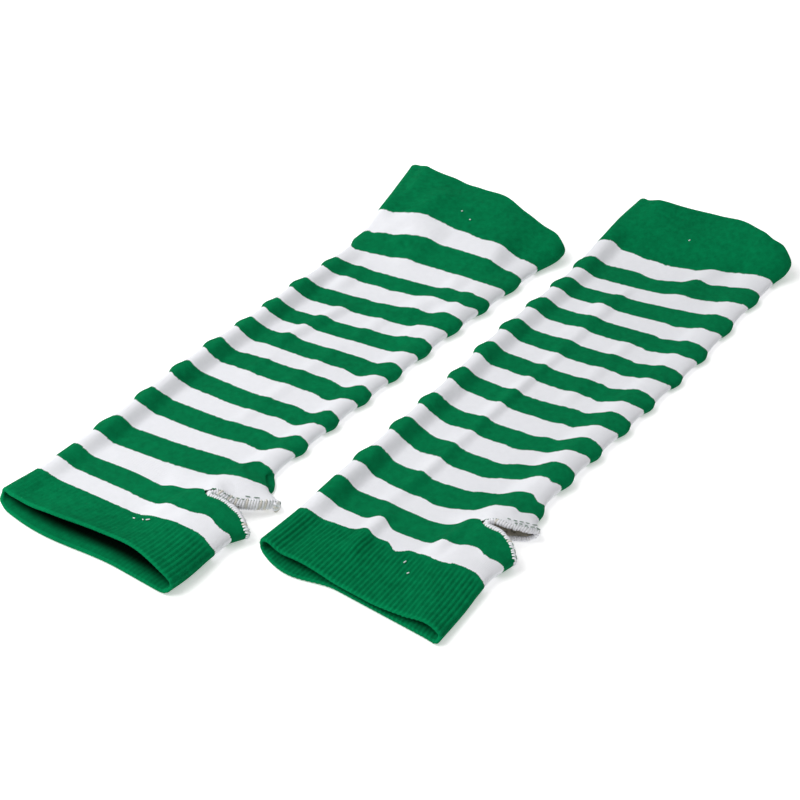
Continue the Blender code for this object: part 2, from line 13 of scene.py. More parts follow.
import bmesh
import bpy
import numpy as np
from bpy.props import FloatProperty, FloatVectorProperty, IntProperty, PointerProperty
from bpy.types import Operator, Panel, PropertyGroup
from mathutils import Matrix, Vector

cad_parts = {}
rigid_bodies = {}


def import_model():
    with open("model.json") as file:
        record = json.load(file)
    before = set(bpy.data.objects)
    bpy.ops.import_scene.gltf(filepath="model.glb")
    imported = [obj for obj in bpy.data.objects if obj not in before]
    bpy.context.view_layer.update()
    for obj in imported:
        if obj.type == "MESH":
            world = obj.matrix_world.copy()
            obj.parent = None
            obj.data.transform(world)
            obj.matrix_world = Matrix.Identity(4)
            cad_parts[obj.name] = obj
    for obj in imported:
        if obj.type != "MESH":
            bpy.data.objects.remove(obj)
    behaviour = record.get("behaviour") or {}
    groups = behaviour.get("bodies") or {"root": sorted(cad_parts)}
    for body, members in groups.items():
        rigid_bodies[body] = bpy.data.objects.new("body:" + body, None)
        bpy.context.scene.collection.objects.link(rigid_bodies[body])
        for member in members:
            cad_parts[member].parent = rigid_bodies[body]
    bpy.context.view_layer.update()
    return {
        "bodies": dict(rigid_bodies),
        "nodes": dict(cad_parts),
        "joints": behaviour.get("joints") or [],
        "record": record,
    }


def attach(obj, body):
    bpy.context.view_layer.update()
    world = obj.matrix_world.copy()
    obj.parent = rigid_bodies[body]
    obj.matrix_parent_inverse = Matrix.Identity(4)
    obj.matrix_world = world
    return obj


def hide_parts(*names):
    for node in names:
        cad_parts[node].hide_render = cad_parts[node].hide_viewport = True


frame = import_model()

bl_info = {
    "name": "Striped Fingerless Gloves",
    "version": (1, 0, 0),
    "blender": (4, 5, 0),
    "location": "3D View > Sidebar > Gloves",
    "description": "Knits a pair of long striped fingerless gloves and lays them out for a photograph",
    "category": "Object",
}

MM = 0.001

# Free room between the two layers of a glove pressed flat, and rounding of its least height
LAYER_GAP = 0.5
ROUND_OVER = 0.5

# Widest rounding of the left fold, how wide its ridge falls away, how far from both ridges
# soft folds fade, and the length over which their ends do
LEFT_CAP = 5.2
RIDGE_FALL = 9.0
RIDGE_FADE = 8.0
FOLD_FADE = 14.0

# Step over which the top's slope is measured
SLOPE_STEP = 0.2

# Middle and half width of the stripes' sag
SAG_MIDDLE = -1.0
SAG_HALF = 38.0

# How far a green stripe swells out at the two folds, how far its edges draw in there, and
# the width of both
LOBE_SWELL = 1.3
LOBE_DRAW = 1.1
LOBE_WIDTH = 6.0

# Width of a rounded corner at an open end, the heights between which the lower layer passes
# into the upper one there, and how sharply a cuff turns in to its rim
CORNER_WIDTH = 9.0
MOUTH_LOW = 1.5
MOUTH_HIGH = 4.5
RIM_POWER = 8

# How far in from the right fold a pinch starts to draw, and where it draws in full
PINCH_START = 16.0
PINCH_FULL = 5.0

# Points round a ring, and on the finer lines that threads follow
SLEEVE_POINTS = 176
POINTS_PER_RIB = 8
CAP_POINTS = 16
TOP_POINTS = 122
EDGE_POINTS = 720
THREAD_POINTS = 1600
LINT_POINTS = 800

# Rings along a piece, about 1.2 mm apart
RINGS_PER_BAND = 10
HAND_CUFF_RINGS = 24
ARM_CUFF_RINGS = 34
RIM_RINGS = 5

# Share of a hand cuff's length over which its ribs rise
RIB_START = 0.12

# Half width of the slit at its inner end, the length over which it opens to that, and the
# length before it over which the plain course bends to it
SLIT_START = 2.6
SLIT_BLEND = 3.0
SLIT_APPROACH = 26.0

# How deep the edging grips the cloth, and how far past the slit's inner end it turns round
EDGING_GRIP = 0.3
EDGING_TURN = 0.6

# Points of the edging's loop for each stitch, round its core and along a wrapped stitch
LOOP_STEPS = 3
CORE_SIDES = 10
WRAP_POINTS = 12
THREAD_SIDES = 6

# Thickness of needle stitches and lint, and the share of a step that a stitch takes
NEEDLE_RADIUS = 0.26
LINT_RADIUS = 0.3
NEEDLE_SHARE = 0.62

# Places along a short thread, and its thickness there
THREAD_SHAPE = ((0.0, 0.5), (0.18, 0.95), (0.5, 1.0), (0.82, 0.95), (1.0, 0.5))

Stripe = namedtuple("Stripe", "left_from right_from sag_from left_to right_to sag_to")
Course = namedtuple("Course", "left right sag")
Section = namedtuple("Section", "at left right left_high middle right_high right_cap")
Mouth = namedtuple("Mouth", "lower_rest lower_reach lower_u lower_half upper_back upper_u upper_half")
Fold = namedtuple("Fold", "v_from v_to u_from u_to half_width height drift")
Lip = namedtuple("Lip", "u hand_v arm_v")
Corners = namedtuple("Corners", "hand_left hand_right arm_left arm_right")
Ribbing = namedtuple("Ribbing", "faint_u full_u faintest")
Pinch = namedtuple("Pinch", "at half z half_z depth")
Thumb = namedtuple("Thumb", "section_shift under_back flatten hand_width arm_width lips")
Needle = namedtuple("Needle", "side offset lift u_from u_to step")
Lint = namedtuple("Lint", "u v length turn")
Stop = namedtuple("Stop", "share inset shift relief")
Cuff = namedtuple("Cuff", "part knit courses rings slot around")
Glove = namedtuple(
    "Glove",
    "name place turn stripes sections folds thumb mouth corners ribbing pinches needles lint",
)


def table(kind, *rows):
    """Rows of numbers as rows with named columns."""
    return tuple(kind(*row) for row in rows)


# Green stripes from the hand cuff to the arm cuff: where each edge meets the two folds,
# and its sag towards the hand in the middle
LEFT_STRIPES = table(
    Stripe,
    (-68.5, -67.5, 0, -48.5, -38.5, 0),
    (-37, -30.5, -0.9, -26.5, -24, -3.2),
    (-14.5, 4, 1.2, -1.5, 16.5, 1.2),
    (13, 30.5, 2.8, 24.5, 41, 2.2),
    (38, 52.5, 2.4, 49, 63, 2.4),
    (61.8, 75.3, 1, 72.3, 87, 0.4),
    (84.5, 98.7, 1.2, 94.5, 110.7, 1.2),
    (104.5, 121.5, 0.4, 113.8, 134, 0.8),
    (126, 145.3, 0.8, 136, 158.5, 0),
    (150.5, 169, -0.8, 160.5, 179.5, 0.4),
    (173.5, 191.5, -2, 188, 207, -2.2),
    (205.5, 220, -2, 257, 241.5, -3),
)

RIGHT_STRIPES = table(
    Stripe,
    (-76.5, -78.3, 0, -51, -39.5, -1),
    (-38.5, -30, 1.5, -24.8, -21, -1),
    (-12.5, 5.5, 8.5, 0.5, 17, 6.5),
    (15.3, 29.5, 7.2, 26.8, 40.5, 7.2),
    (38, 52.3, 5, 48.2, 63.3, 4.5),
    (62, 75, 3.2, 72.8, 87, 3.2),
    (86.2, 97.4, 1.8, 97.5, 108.5, 1.6),
    (109.5, 121.5, 1.6, 120.5, 133.2, 1.6),
    (133, 145.6, 0.8, 143.5, 157.3, 0.6),
    (155, 171.8, 1.2, 165.5, 186, 1.4),
    (176.5, 201, 2.6, 188.3, 214.8, 1.6),
    (206.5, 228.5, 5, 251.5, 245.5, -7),
)

# Cross-sections: place of the two folds, heights over them and over the middle,
# and the distance from the right ridge to the right fold
LEFT_SECTIONS = table(
    Section,
    (-67, -45, 56, 8.2, 10, 12.6, 20),
    (-58, -44.5, 56.6, 8, 8, 12, 20),
    (-43, -43.5, 55.8, 7.5, 5.6, 11, 20),
    (-34, -43.2, 56, 7.8, 5, 11.4, 21),
    (-24, -43, 59.6, 8, 4.8, 12, 23),
    (4, -43, 42.5, 8, 3.2, 6.4, 9),
    (28, -44, 40.5, 8, 3.1, 5.8, 6),
    (51, -45, 40.5, 8.4, 3.1, 6.2, 5.5),
    (75, -45.2, 40.5, 8.6, 3.4, 6.2, 5.5),
    (98, -44.8, 40.8, 8, 3.2, 5.6, 5.5),
    (120, -44.5, 41, 8.6, 3.2, 6, 6),
    (142, -45, 41.5, 8.6, 3.4, 7.2, 8),
    (165, -44, 43, 8.6, 4.6, 8, 9),
    (188, -45, 43.5, 8.2, 8, 6.6, 8),
    (201, -46.5, 43.5, 10, 11, 6.6, 8),
    (215, -50, 45, 14, 12.6, 7.6, 10),
    (234, -58, 48.5, 12, 14.5, 11.5, 13),
    (250, -64, 48.5, 12, 14.8, 13, 13),
)

RIGHT_SECTIONS = table(
    Section,
    (-77, -44.2, 50, 8.4, 5.4, 6.8, 8),
    (-62, -44, 49, 7.8, 4.8, 6, 13),
    (-48, -43.6, 47.8, 7.8, 5.2, 7.6, 15),
    (-40, -43.6, 47.4, 8, 4.8, 9, 16),
    (-25, -44, 51.2, 8.4, 3.6, 12, 18),
    (4, -44, 41.5, 8, 3, 6.8, 9.5),
    (28, -44.2, 41, 7.6, 3, 8.2, 8.5),
    (51, -44.2, 41.5, 8, 3, 7, 8.5),
    (75, -44.5, 42.5, 7.6, 3, 6.4, 8.5),
    (98, -46, 43, 7.4, 3, 5.8, 8.5),
    (122, -46.5, 44, 7.2, 3, 4.8, 7.5),
    (145, -46, 44.5, 7.2, 3.2, 5.2, 7.5),
    (170, -45.5, 43.5, 7.2, 3, 5, 7.5),
    (195, -45.5, 43, 7.2, 3, 5.2, 7.5),
    (219, -48, 43.5, 7.6, 4, 6.4, 9),
    (234, -49.5, 46, 8.6, 10, 13, 11),
    (247, -49.5, 46, 9.4, 13.3, 15.6, 12),
)

# Soft folds of the top layer, each along a line from one end to the other: its height,
# and how far it draws the stripes towards the arm
LEFT_FOLDS = table(
    Fold,
    (-90, -45, -30, -28, 16, -1.6, 0),
    (-50, -20, 20, 26, 7, 1.6, 0),
    (-36, -12, 14, 16, 9, 2, 0.8),
    (12, 204, -37, -37, 5, 0, -1.5),
    (60, 108, -31, -31, 7, 0, -1),
    (60, 90, -17, -15, 5, 0.9, 0),
    (-2, 112, 26, 27, 10, 0, -2.3),
    (26, 112, 4, 5, 6, 0.8, 0),
    (88, 144, -22, -12, 6.5, 2.2, 0),
    (106, 150, 8, 7, 6, 0.9, 0),
    (112, 146, 27, 27, 7, 1.8, 0),
    (140, 178, -27, -27, 8, 1.5, 0),
    (138, 172, 16, 18, 10, 2.4, 0),
    (140, 168, -4, -4, 6, 0, -1.6),
    (140, 185, 37, 37, 6, 0, -1.6),
    (146, 186, 24, 20, 7, 1.6, 0),
    (174, 214, -11, -10, 9, 2, 0.6),
    (184, 214, -22, -16, 10, 2.2, 0),
    (200, 244, -28, -24, 13, 2.6, 0),
    (200, 228, -20, -20, 19, 0, 4.6),
    (202, 226, 12, 12, 9, 0, -1.5),
    (226, 290, -46, -46, 20, 0, -1.8),
    (226, 290, -23, -23, 10, -0.8, 0),
    (226, 290, 2, 4, 17, 1.2, 1.2),
    (-56, -34, 55, 55, 9, 0, -2),
    (-44, -24, 43, 43, 9, 0, 2.4),
    (204, 224, -35, -35, 6, 0, 2.4),
    (172, 194, -45, -45, 5, 0, 3),
)

RIGHT_FOLDS = table(
    Fold,
    (-100, -46, -24, -14, 22, 1.9, 0),
    (-66, -20, -8, -12, 6, 1.9, 0),
    (-60, -36, -12, -12, 6, 0, 2.2),
    (-60, -36, 6, 6, 6, 0, -4.2),
    (-60, -36, 27, 27, 9, 0, -2),
    (-48, -16, 19, 24, 6, 2.6, 0),
    (-44, -24, -10, -10, 9, 0, 3.6),
    (-44, -24, 35, 35, 7, 0, 2),
    (-30, 50, -15, -17, 6, 1, 0),
    (-14, 6, -6, -6, 9, 0, 2.4),
    (-14, 14, 21, 27, 7, 0.6, 2.4),
    (-14, 30, 38, 38, 5, 0, -2.4),
    (-10, 190, -13, -13, 5, 1.4, 0),
    (0, 66, -26, -26, 9, 0, -1.6),
    (2, 76, 8, 12, 8, 0, -1.5),
    (10, 110, -36, -36, 6, 0, -1.4),
    (40, 180, 21, 21, 5, 0, -1.4),
    (44, 98, -16, -14, 6, 0.8, 0),
    (44, 180, 33, 33, 5, 0.6, 0.6),
    (76, 150, 9, 10, 6, 1, 0),
    (110, 176, -18, -17, 6, 1, 0),
    (154, 180, -18, -17, 5, 1.5, 0),
    (180, 226, 9, 15, 8, 1.4, 2),
    (190, 222, -7, -9, 11, 0, -3.4),
    (204, 230, 23, 23, 9, 0, 2.4),
    (226, 290, -38, -38, 9, -1, 0.6),
    (226, 290, -14, -14, 24, -1.3, 0),
    (226, 290, 17, 17, 20, 1.8, 2.4),
    (226, 290, 29, 29, 14, 0.8, 0.3),
    (208, 228, -39, -39, 6, 0, 1.8),
    (208, 228, -20, -20, 8, 0, -1.5),
    (194, 209, 2, 2, 9, 0, -1.4),
    (194, 209, 24, 24, 9, 0, 1.6),
    (-60, -36, 50, 50, 9, 0, -3.4),
)

# How far the lower layer reaches out of the open hand end, everywhere and at its fullest,
# and how far the upper one lies back
LEFT_MOUTH = Mouth(0.9, 4.2, -18, 45, 5.2, 20, 44)
RIGHT_MOUTH = Mouth(-0.4, 5, -26, 24, 3.2, 40, 26)

# How far each open end's corner is rounded back
LEFT_CORNERS = Corners(1.6, 0.4, 1.8, 2)
RIGHT_CORNERS = Corners(0.6, -0.4, -1.6, 3.2)

# Where the ribs of a hand cuff are stretched flat, and where they stand in full
LEFT_RIBBING = Ribbing(-12, 75, 0.2)
RIGHT_RIBBING = Ribbing(-80, -60, 0.9)

# Folded-over spots of the right fold: where, at what height, and how far it is drawn in
LEFT_PINCHES = table(
    Pinch,
    (1.5, 9.5, 6.6, 4.6, 7),
    (1, 9, 3, 1.8, 4.6),
    (0, 9, 0.9, 1.5, -2.2),
)

RIGHT_PINCHES = table(
    Pinch,
    (-2, 7, 6.4, 3.6, 1.8),
)

# Needle stitches along the slit, dark grey-green as painted shade of stitch holes and of the shadow under
# the edging's curl: the side, how far into the cloth, how high over it
LEFT_NEEDLES = table(
    Needle,
    (-1, -0.9, 1.1, 36, 46, 1.7),
    (1, -1.2, 1, 38, 46, 1.9),
    (1, 2.2, 0.25, 45, 51, 3.4),
)

RIGHT_NEEDLES = table(
    Needle,
    (-1, -0.8, 1, 46.5, 52, 1.9),
    (1, 2.2, 0.25, 36, 47, 2.4),
    (1, -0.3, 1, 40, 50, 2),
)

# Bits of white lint caught in the green cloth
LEFT_LINT = table(
    Lint,
    (22.3, -44.9, 1.9, 35),
    (20, -45.6, 1, -20),
    (15.2, -46.2, 1.2, 10),
    (-9.2, 227.6, 1, 60),
    (-1.4, 223.9, 0.9, 20),
)

RIGHT_LINT = table(
    Lint,
    (13.5, -50.5, 1.5, 80),
    (18.4, -55.1, 1.2, 70),
    (-6.7, 230.3, 1.3, 75),
)

# Lips of the thumb slit, from its inner end out to the fold; the arm side's lip takes its
# cross-section from a place further up, and its lower layer lies further back
LEFT_THUMB = Thumb(6, 4.5, 0.3, 2, 3.6, (
    Lip(33, -17.6, -17.6),
    Lip(41, -19, -12.5),
    Lip(47, -19.6, -9.5),
    Lip(52, -20.4, -6),
    Lip(56, -22, -1),
    Lip(59, -24, 3),
))

RIGHT_THUMB = Thumb(7, 1, 0.08, 1.8, 2.4, (
    Lip(30, -14.8, -14.8),
    Lip(36, -17, -10.6),
    Lip(41, -18, -7.6),
    Lip(46, -20, -4.8),
    Lip(49, -22.5, -1),
    Lip(51.5, -25, 2),
))

GLOVES = (
    Glove(
        "left", (-49.86, -117.66), -0.65,
        LEFT_STRIPES, LEFT_SECTIONS, LEFT_FOLDS, LEFT_THUMB, LEFT_MOUTH,
        LEFT_CORNERS, LEFT_RIBBING, LEFT_PINCHES, LEFT_NEEDLES, LEFT_LINT,
    ),
    Glove(
        "right", (58.84, -65.76), 0.65,
        RIGHT_STRIPES, RIGHT_SECTIONS, RIGHT_FOLDS, RIGHT_THUMB, RIGHT_MOUTH,
        RIGHT_CORNERS, RIGHT_RIBBING, RIGHT_PINCHES, RIGHT_NEEDLES, RIGHT_LINT,
    ),
)

# Knit, rows of stitches, rings, slot and cut round the tube of the cuffs at each end
HAND_CUFF = Cuff("hand_cuff", "ribbed knit", 32.0, HAND_CUFF_RINGS, "green_rib", 0.205)
ARM_CUFF = Cuff("arm_cuff", "plain knit", 38.0, ARM_CUFF_RINGS, "green_knit", 0.220)


def colour_setting(name, description, default):
    return FloatVectorProperty(
        name=name, description=description, default=default, subtype="COLOR", size=3, min=0.0, max=1.0,
    )


def length_setting(name, description, default, least, most):
    """Length that is given in millimetres."""
    return FloatProperty(
        name=name, description=description, default=default * MM, min=least * MM, max=most * MM,
        unit="LENGTH",
    )


def count_setting(name, description, default, least, most):
    return IntProperty(name=name, description=description, default=default, min=least, max=most)


def angle_setting(name, description, degrees):
    return FloatProperty(name=name, description=description, default=math.radians(degrees), subtype="ANGLE")


def level_setting(name, description, default):
    return FloatProperty(name=name, description=description, default=default, min=0.0)


class YarnSettings(PropertyGroup):
    green: colour_setting("Green yarn", "Colour of the green stripes and cuffs", (0.0008, 0.158, 0.055))
    white: colour_setting("White yarn", "Colour of the white stripes and the edging", (0.80, 0.805, 0.84))
    wall: length_setting("Cloth", "Thickness of the striped knit", 1.2, 0.5, 3.0)
    wales: count_setting("Wales", "Columns of stitches round a glove", 200, 40, 400)
    courses: count_setting("Courses", "Rows of stitches in one stripe", 15, 4, 40)


class CuffSettings(PropertyGroup):
    wall: length_setting("Cuff cloth", "Thickness of the doubled cuffs", 1.9, 1.0, 4.0)
    ribs: count_setting("Ribs", "Ribs round a hand cuff", 90, 20, 140)
    rib_depth: length_setting("Rib depth", "Depth of the valleys between two ribs", 0.45, 0.0, 1.0)


class EdgingSettings(PropertyGroup):
    height: length_setting("Edging height", "Thickness of the overlocked edge", 1.7, 1.0, 3.0)
    spacing: length_setting("Stitch spacing", "Distance between two wrapped stitches", 1.15, 0.6, 4.0)
    thread: length_setting("Thread", "Thickness of the wrapping thread", 0.9, 0.2, 1.4)


class StudioSettings(PropertyGroup):
    azimuth: angle_setting("Azimuth", "Direction that the camera looks from", 36.52)
    elevation: angle_setting("Elevation", "Height of the camera's view over the table", 38.08)
    distance: length_setting("Distance", "From the camera to the point it looks at", 842.2, 100.0, 9000.0)
    look_at: FloatVectorProperty(
        name="Look at", description="Point at the middle of the picture",
        size=3, subtype="TRANSLATION", default=(0.00225, -0.0241, 0.0),
    )
    lens: FloatProperty(
        name="Lens", description="Focal length on a 36 mm sensor, in millimetres", default=81.0, min=10.0,
    )
    floor: colour_setting("Table", "Colour of the table", (0.93, 0.93, 0.93))
    glow: level_setting("Table glow", "Light that the table gives off from below", 0.38)
    sky: level_setting("Room light", "Strength of the even light from all round", 0.46)
    key: level_setting("Soft box", "Power of the large soft box, in watts", 16.0)


def mix(a, b, t):
    return a + (b - a) * t


def ease(t):
    """Smooth step from 0 to 1."""
    t = np.clip(t, 0.0, 1.0)
    return t * t * (3.0 - 2.0 * t)


def bump(distance):
    """Smooth hill that is 1 at its middle and 0 from a distance of 1."""
    return 0.5 + 0.5 * np.cos(np.pi * np.minimum(1.0, np.abs(distance)))


def soft_floor(value, least):
    """The value, kept above the least by a rounded transition."""
    return least + 0.5 * ((value - least) + np.hypot(value - least, ROUND_OVER))


def read_section(sections, at):
    """Section at any place along the glove, by a smooth curve through the rows."""
    inside = min(max(at, sections[0].at), sections[-1].at)
    k = 0
    while sections[k + 1].at < inside:
        k += 1
    rows = (max(k - 1, 0), k, k + 1, min(k + 2, len(sections) - 1))
    before, start, end, after = (np.array(sections[row]) for row in rows)
    span = end[0] - start[0]
    t = (inside - start[0]) / span
    slope_in = (end - before) / max(end[0] - before[0], 1.0) * span
    slope_out = (after - start) / max(after[0] - start[0], 1.0) * span
    curve = (2 * t ** 3 - 3 * t ** 2 + 1) * start + (t ** 3 - 2 * t ** 2 + t) * slope_in
    curve = curve + (-2 * t ** 3 + 3 * t ** 2) * end + (t ** 3 - t ** 2) * slope_out
    return Section(*curve)._replace(at=at)


def fold_sum(folds, u, at, column):
    """Sum of one measure of the folds that cross this place."""
    total = np.zeros_like(u)
    for fold in folds:
        length = fold.v_to - fold.v_from
        from_end = min(at - fold.v_from, fold.v_to - at)
        amount = getattr(fold, column)
        if from_end <= 0.0 or not amount:
            continue
        line = mix(fold.u_from, fold.u_to, (at - fold.v_from) / length)
        fade = ease(from_end / min(FOLD_FADE, 0.5 * length))
        total += amount * fade * bump((u - line) / fold.half_width)
    return total


def left_cap(section):
    return min(LEFT_CAP, 0.75 * section.left_high)


def ridges(section):
    """Where the top layer's two ridges run, beside the rounded folds."""
    return section.left + left_cap(section), section.right - section.right_cap


def top_height(glove, section, u, least):
    """Height of the top layer's outer side between the two ridges."""
    left_ridge, right_ridge = ridges(section)
    rise = 3.0 + 1.1 * section.right_cap
    height = section.middle
    height = height + (section.left_high - section.middle) * bump((u - left_ridge) / RIDGE_FALL)
    height = height + (section.right_high - section.middle) * bump((right_ridge - u) / rise)
    edge = np.minimum(np.minimum(u - left_ridge, right_ridge - u) / RIDGE_FADE, 1.0)
    height = height + fold_sum(glove.folds, u, section.at, "height") * ease(edge)
    return soft_floor(height, least)


def cap_points(side, inset, angles):
    """Rounded fold at one side: points at the given angles, from below to above."""
    edge, sign, upper, lower, high = side
    reach = np.where(angles > 0, upper, lower)
    across = edge - sign * reach + sign * (reach - inset) * np.cos(angles)
    return np.stack([across, 0.5 * high + (0.5 * high - inset) * np.sin(angles)])


def layers(glove, at, inset, least):
    """Dense lines of the lower layer, left to right, and of the upper one, right to left."""
    section = read_section(glove.sections, at)
    ends = np.array(ridges(section))
    left_high, right_high = top_height(glove, section, ends, least)
    left = (section.left, -1, left_cap(section), 0.5 * left_high, left_high)
    right_base = min(0.5 * right_high, section.right_cap)
    right = (section.right, 1, section.right_cap, right_base, right_high)
    quarter = np.radians(np.linspace(0.0, 90.0, CAP_POINTS))
    lower = np.hstack([cap_points(left, inset, -quarter), cap_points(right, inset, -quarter[::-1])])
    u = np.linspace(ends[1], ends[0], TOP_POINTS)[1:-1]
    moves = (-SLOPE_STEP, 0.0, SLOPE_STEP)
    before, high, after = (top_height(glove, section, u + move, least) for move in moves)
    top = np.stack([u, high - inset * np.hypot(1.0, (after - before) / (2 * SLOPE_STEP))])
    upper = np.hstack([cap_points(right, inset, quarter), top, cap_points(left, inset, quarter[::-1])])
    return section, lower, upper


def walked(line):
    """Way along a line of points up to each of them."""
    return np.concatenate([[0.0], np.cumsum(np.linalg.norm(np.diff(line, axis=1), axis=0))])


def evenly(line, way, count):
    """Points at even distances along a line, without its last one."""
    places = np.linspace(0.0, way[-1], count, endpoint=False)
    return np.array([np.interp(places, way, row) for row in line])


def ring_outline(glove, at, inset, count, least):
    """Closed ring of points: under the glove to the right fold, then back over the top."""
    section, *lines = layers(glove, at, inset, least)
    counts = (count // 2, count - count // 2)
    u, z = np.hstack([evenly(line, walked(line), number) for line, number in zip(lines, counts)])
    return section, u, z


def outward(u, z):
    """Unit vectors across a ring, pointing out of it."""
    du, dz = (np.roll(line, -1) - np.roll(line, 1) for line in (u, z))
    size = np.hypot(du, dz)
    return dz / size, -du / size


def course_v(glove, u, section, course):
    """Place along the glove where a course passes the distance u across it."""
    t = np.clip((u - section.left) / (section.right - section.left), 0.0, 1.0)
    sag = course.sag * bump((u - SAG_MIDDLE) / SAG_HALF)
    return mix(course.left, course.right, t) - sag + fold_sum(glove.folds, u, section.at, "drift")


def between(a, b, t):
    """Course between two others."""
    return Course(*(mix(p, q, t) for p, q in zip(a, b)))


def start_of(stripe):
    return Course(*stripe[:3])


def end_of(stripe):
    return Course(*stripe[3:])


def station(course):
    """Where a course is looked up in the table of sections."""
    return 0.5 * (course.left + course.right)


def place(glove, u, v, z):
    """Glove measures to the pair's own frame, in metres."""
    a = math.radians(glove.turn)
    x = u * math.cos(a) - v * math.sin(a) + glove.place[0]
    y = u * math.sin(a) + v * math.cos(a) + glove.place[1]
    return np.stack([x, y, np.maximum(z, 0.0)], axis=-1) * MM


def slit_v(glove, u, section, side):
    """Edge of the cut course: the plain course on the left, the open lip on the right."""
    across, hand, arm = np.array(glove.thumb.lips).T
    inner = across[0]
    held = np.minimum(u, inner)
    plain = course_v(glove, held, section, end_of(glove.stripes[1]))
    plain = mix(plain, hand[0], ease((held - (inner - SLIT_APPROACH)) / SLIT_APPROACH))
    closed = plain + side * SLIT_START * ease((u - inner + SLIT_BLEND) / SLIT_BLEND)
    lip = np.interp(u, across, hand if side < 0 else arm)
    lip = lip + side * SLIT_START * (1.0 - ease((u - inner) / 10.0))
    return np.where(u <= inner, closed, lip)


def lip_line(glove, side, inset, count, least):
    """Ring along the cut course on one side of the slit: across, along and up."""
    thumb = glove.thumb
    inner = thumb.lips[0].u
    cut = station(end_of(glove.stripes[1]))
    at = cut + thumb.section_shift * (side > 0)
    section, u, z = ring_outline(glove, at, 0.0, count, least)
    v = slit_v(glove, u, section._replace(at=cut), side)
    if side > 0:
        lower = (1.0 - ease((z - 1.0) / 2.5)) * ease((u - inner) / 12.0)
        v = v + thumb.under_back * lower
    if inset:
        _, u, z = ring_outline(glove, at, inset, count, least)
    if side > 0:
        upper = ease((z - least) / 3.0) * ease((u - inner) / 10.0)
        z = z - thumb.flatten * upper * (z - least)
    return u, v, z


def add_object(name, data):
    """Puts a mesh, lamp or camera into the scene."""
    thing = bpy.data.objects.new(name, data)
    bpy.context.scene.collection.objects.link(thing)
    return thing


def new_mesh(name, materials):
    mesh = bpy.data.meshes.new(name)
    for material in materials:
        mesh.materials.append(material)
    return mesh


def finish_mesh(work, mesh, sharp_angle):
    """Turns the faces outward and keeps the true edges sharp; gives the mesh's object."""
    bmesh.ops.recalc_face_normals(work, faces=work.faces)
    work.to_mesh(mesh)
    work.free()
    mesh.shade_smooth()
    mesh.set_sharp_from_angle(angle=math.radians(sharp_angle))
    return add_object(mesh.name, mesh)


def tube(name, rings, wales, courses, materials, shades):
    """Closed skin over rings that run out along a tube's outside and back along its inside."""
    rings = np.asarray(rings)
    rows, count, _ = rings.shape
    row = np.arange(rows)[:, None]
    column = np.arange(count)[None, :]
    courses = np.asarray(courses, float)
    faces = np.zeros((rows, count, 4), int)
    stitches = np.zeros((rows, count, 4, 2), np.float32)
    for k, (on, aside) in enumerate(((0, 0), (0, 1), (1, 1), (1, 0))):
        faces[..., k] = (row + on) % rows * count + (column + aside) % count
        stitches[..., k, 0] = (column + aside) * (wales / count)
        stitches[..., k, 1] = np.roll(courses, -on)[:, None]
    mesh = new_mesh(name, materials)
    mesh.from_pydata(rings.reshape(-1, 3).tolist(), [], faces.reshape(-1, 4).tolist())
    mesh.uv_layers.new(name="stitches").data.foreach_set("uv", stitches.reshape(-1))
    mesh.polygons.foreach_set("material_index", np.repeat(np.asarray(shades, np.int32), count))
    work = bmesh.new()
    work.from_mesh(mesh)
    return finish_mesh(work, mesh, 50.0)


def lobes(section, u, swell, draw):
    """Shift across and along near the two folds, where the green stripes swell and draw in."""
    left = bump((u - section.left) / LOBE_WIDTH)
    right = bump((section.right - u) / LOBE_WIDTH)
    return swell * (right - left), draw * (left + right)


def pinched(glove, section, u, z):
    """Distance across with the folded-over spots drawn in."""
    near = ease((u - section.right + PINCH_START) / (PINCH_START - PINCH_FULL))
    for row in glove.pinches:
        hill = bump((section.at - row.at) / row.half) * bump((z - row.z) / row.half_z)
        u = u - row.depth * near * hill
    return u


def knit_ring(glove, course, inset, least, swell=0.0, draw=0.0):
    """Placed ring of the striped knit along one course."""
    section, u, z = ring_outline(glove, station(course), inset, SLEEVE_POINTS, least)
    across, along = lobes(section, u, swell, draw)
    v = course_v(glove, u, section, course) + along
    return place(glove, pinched(glove, section, u, z) + across, v, z)


def stripe_shape(t, green):
    """Swell and draw part of the way along a stripe; green ones bulge out at the folds."""
    swell = LOBE_SWELL * math.sin(math.pi * t)
    draw = mix(LOBE_DRAW, -LOBE_DRAW, t)
    return (swell, draw) if green else (-0.4 * swell, -draw)


def band_steps():
    return [k / RINGS_PER_BAND for k in range(RINGS_PER_BAND)]


def lip_ring(glove, side, inset, least):
    """Placed ring along the cut course, one lip of the thumb slit."""
    return place(glove, *lip_line(glove, side, inset, SLEEVE_POINTS, least))


def palm_rings(glove, inset, least):
    """Rings of the palm band, from the hand cuff to the slit."""
    seam = end_of(glove.stripes[0])
    start = start_of(glove.stripes[1])
    rings = [
        knit_ring(glove, between(seam, start, t), inset, least, 0.0, LOBE_DRAW * t)
        for t in band_steps()
    ]
    first = knit_ring(glove, start, inset, least, 0.0, LOBE_DRAW)
    lip = lip_ring(glove, -1, inset, least)
    return rings + [mix(first, lip, t) for t in band_steps() + [1.0]]


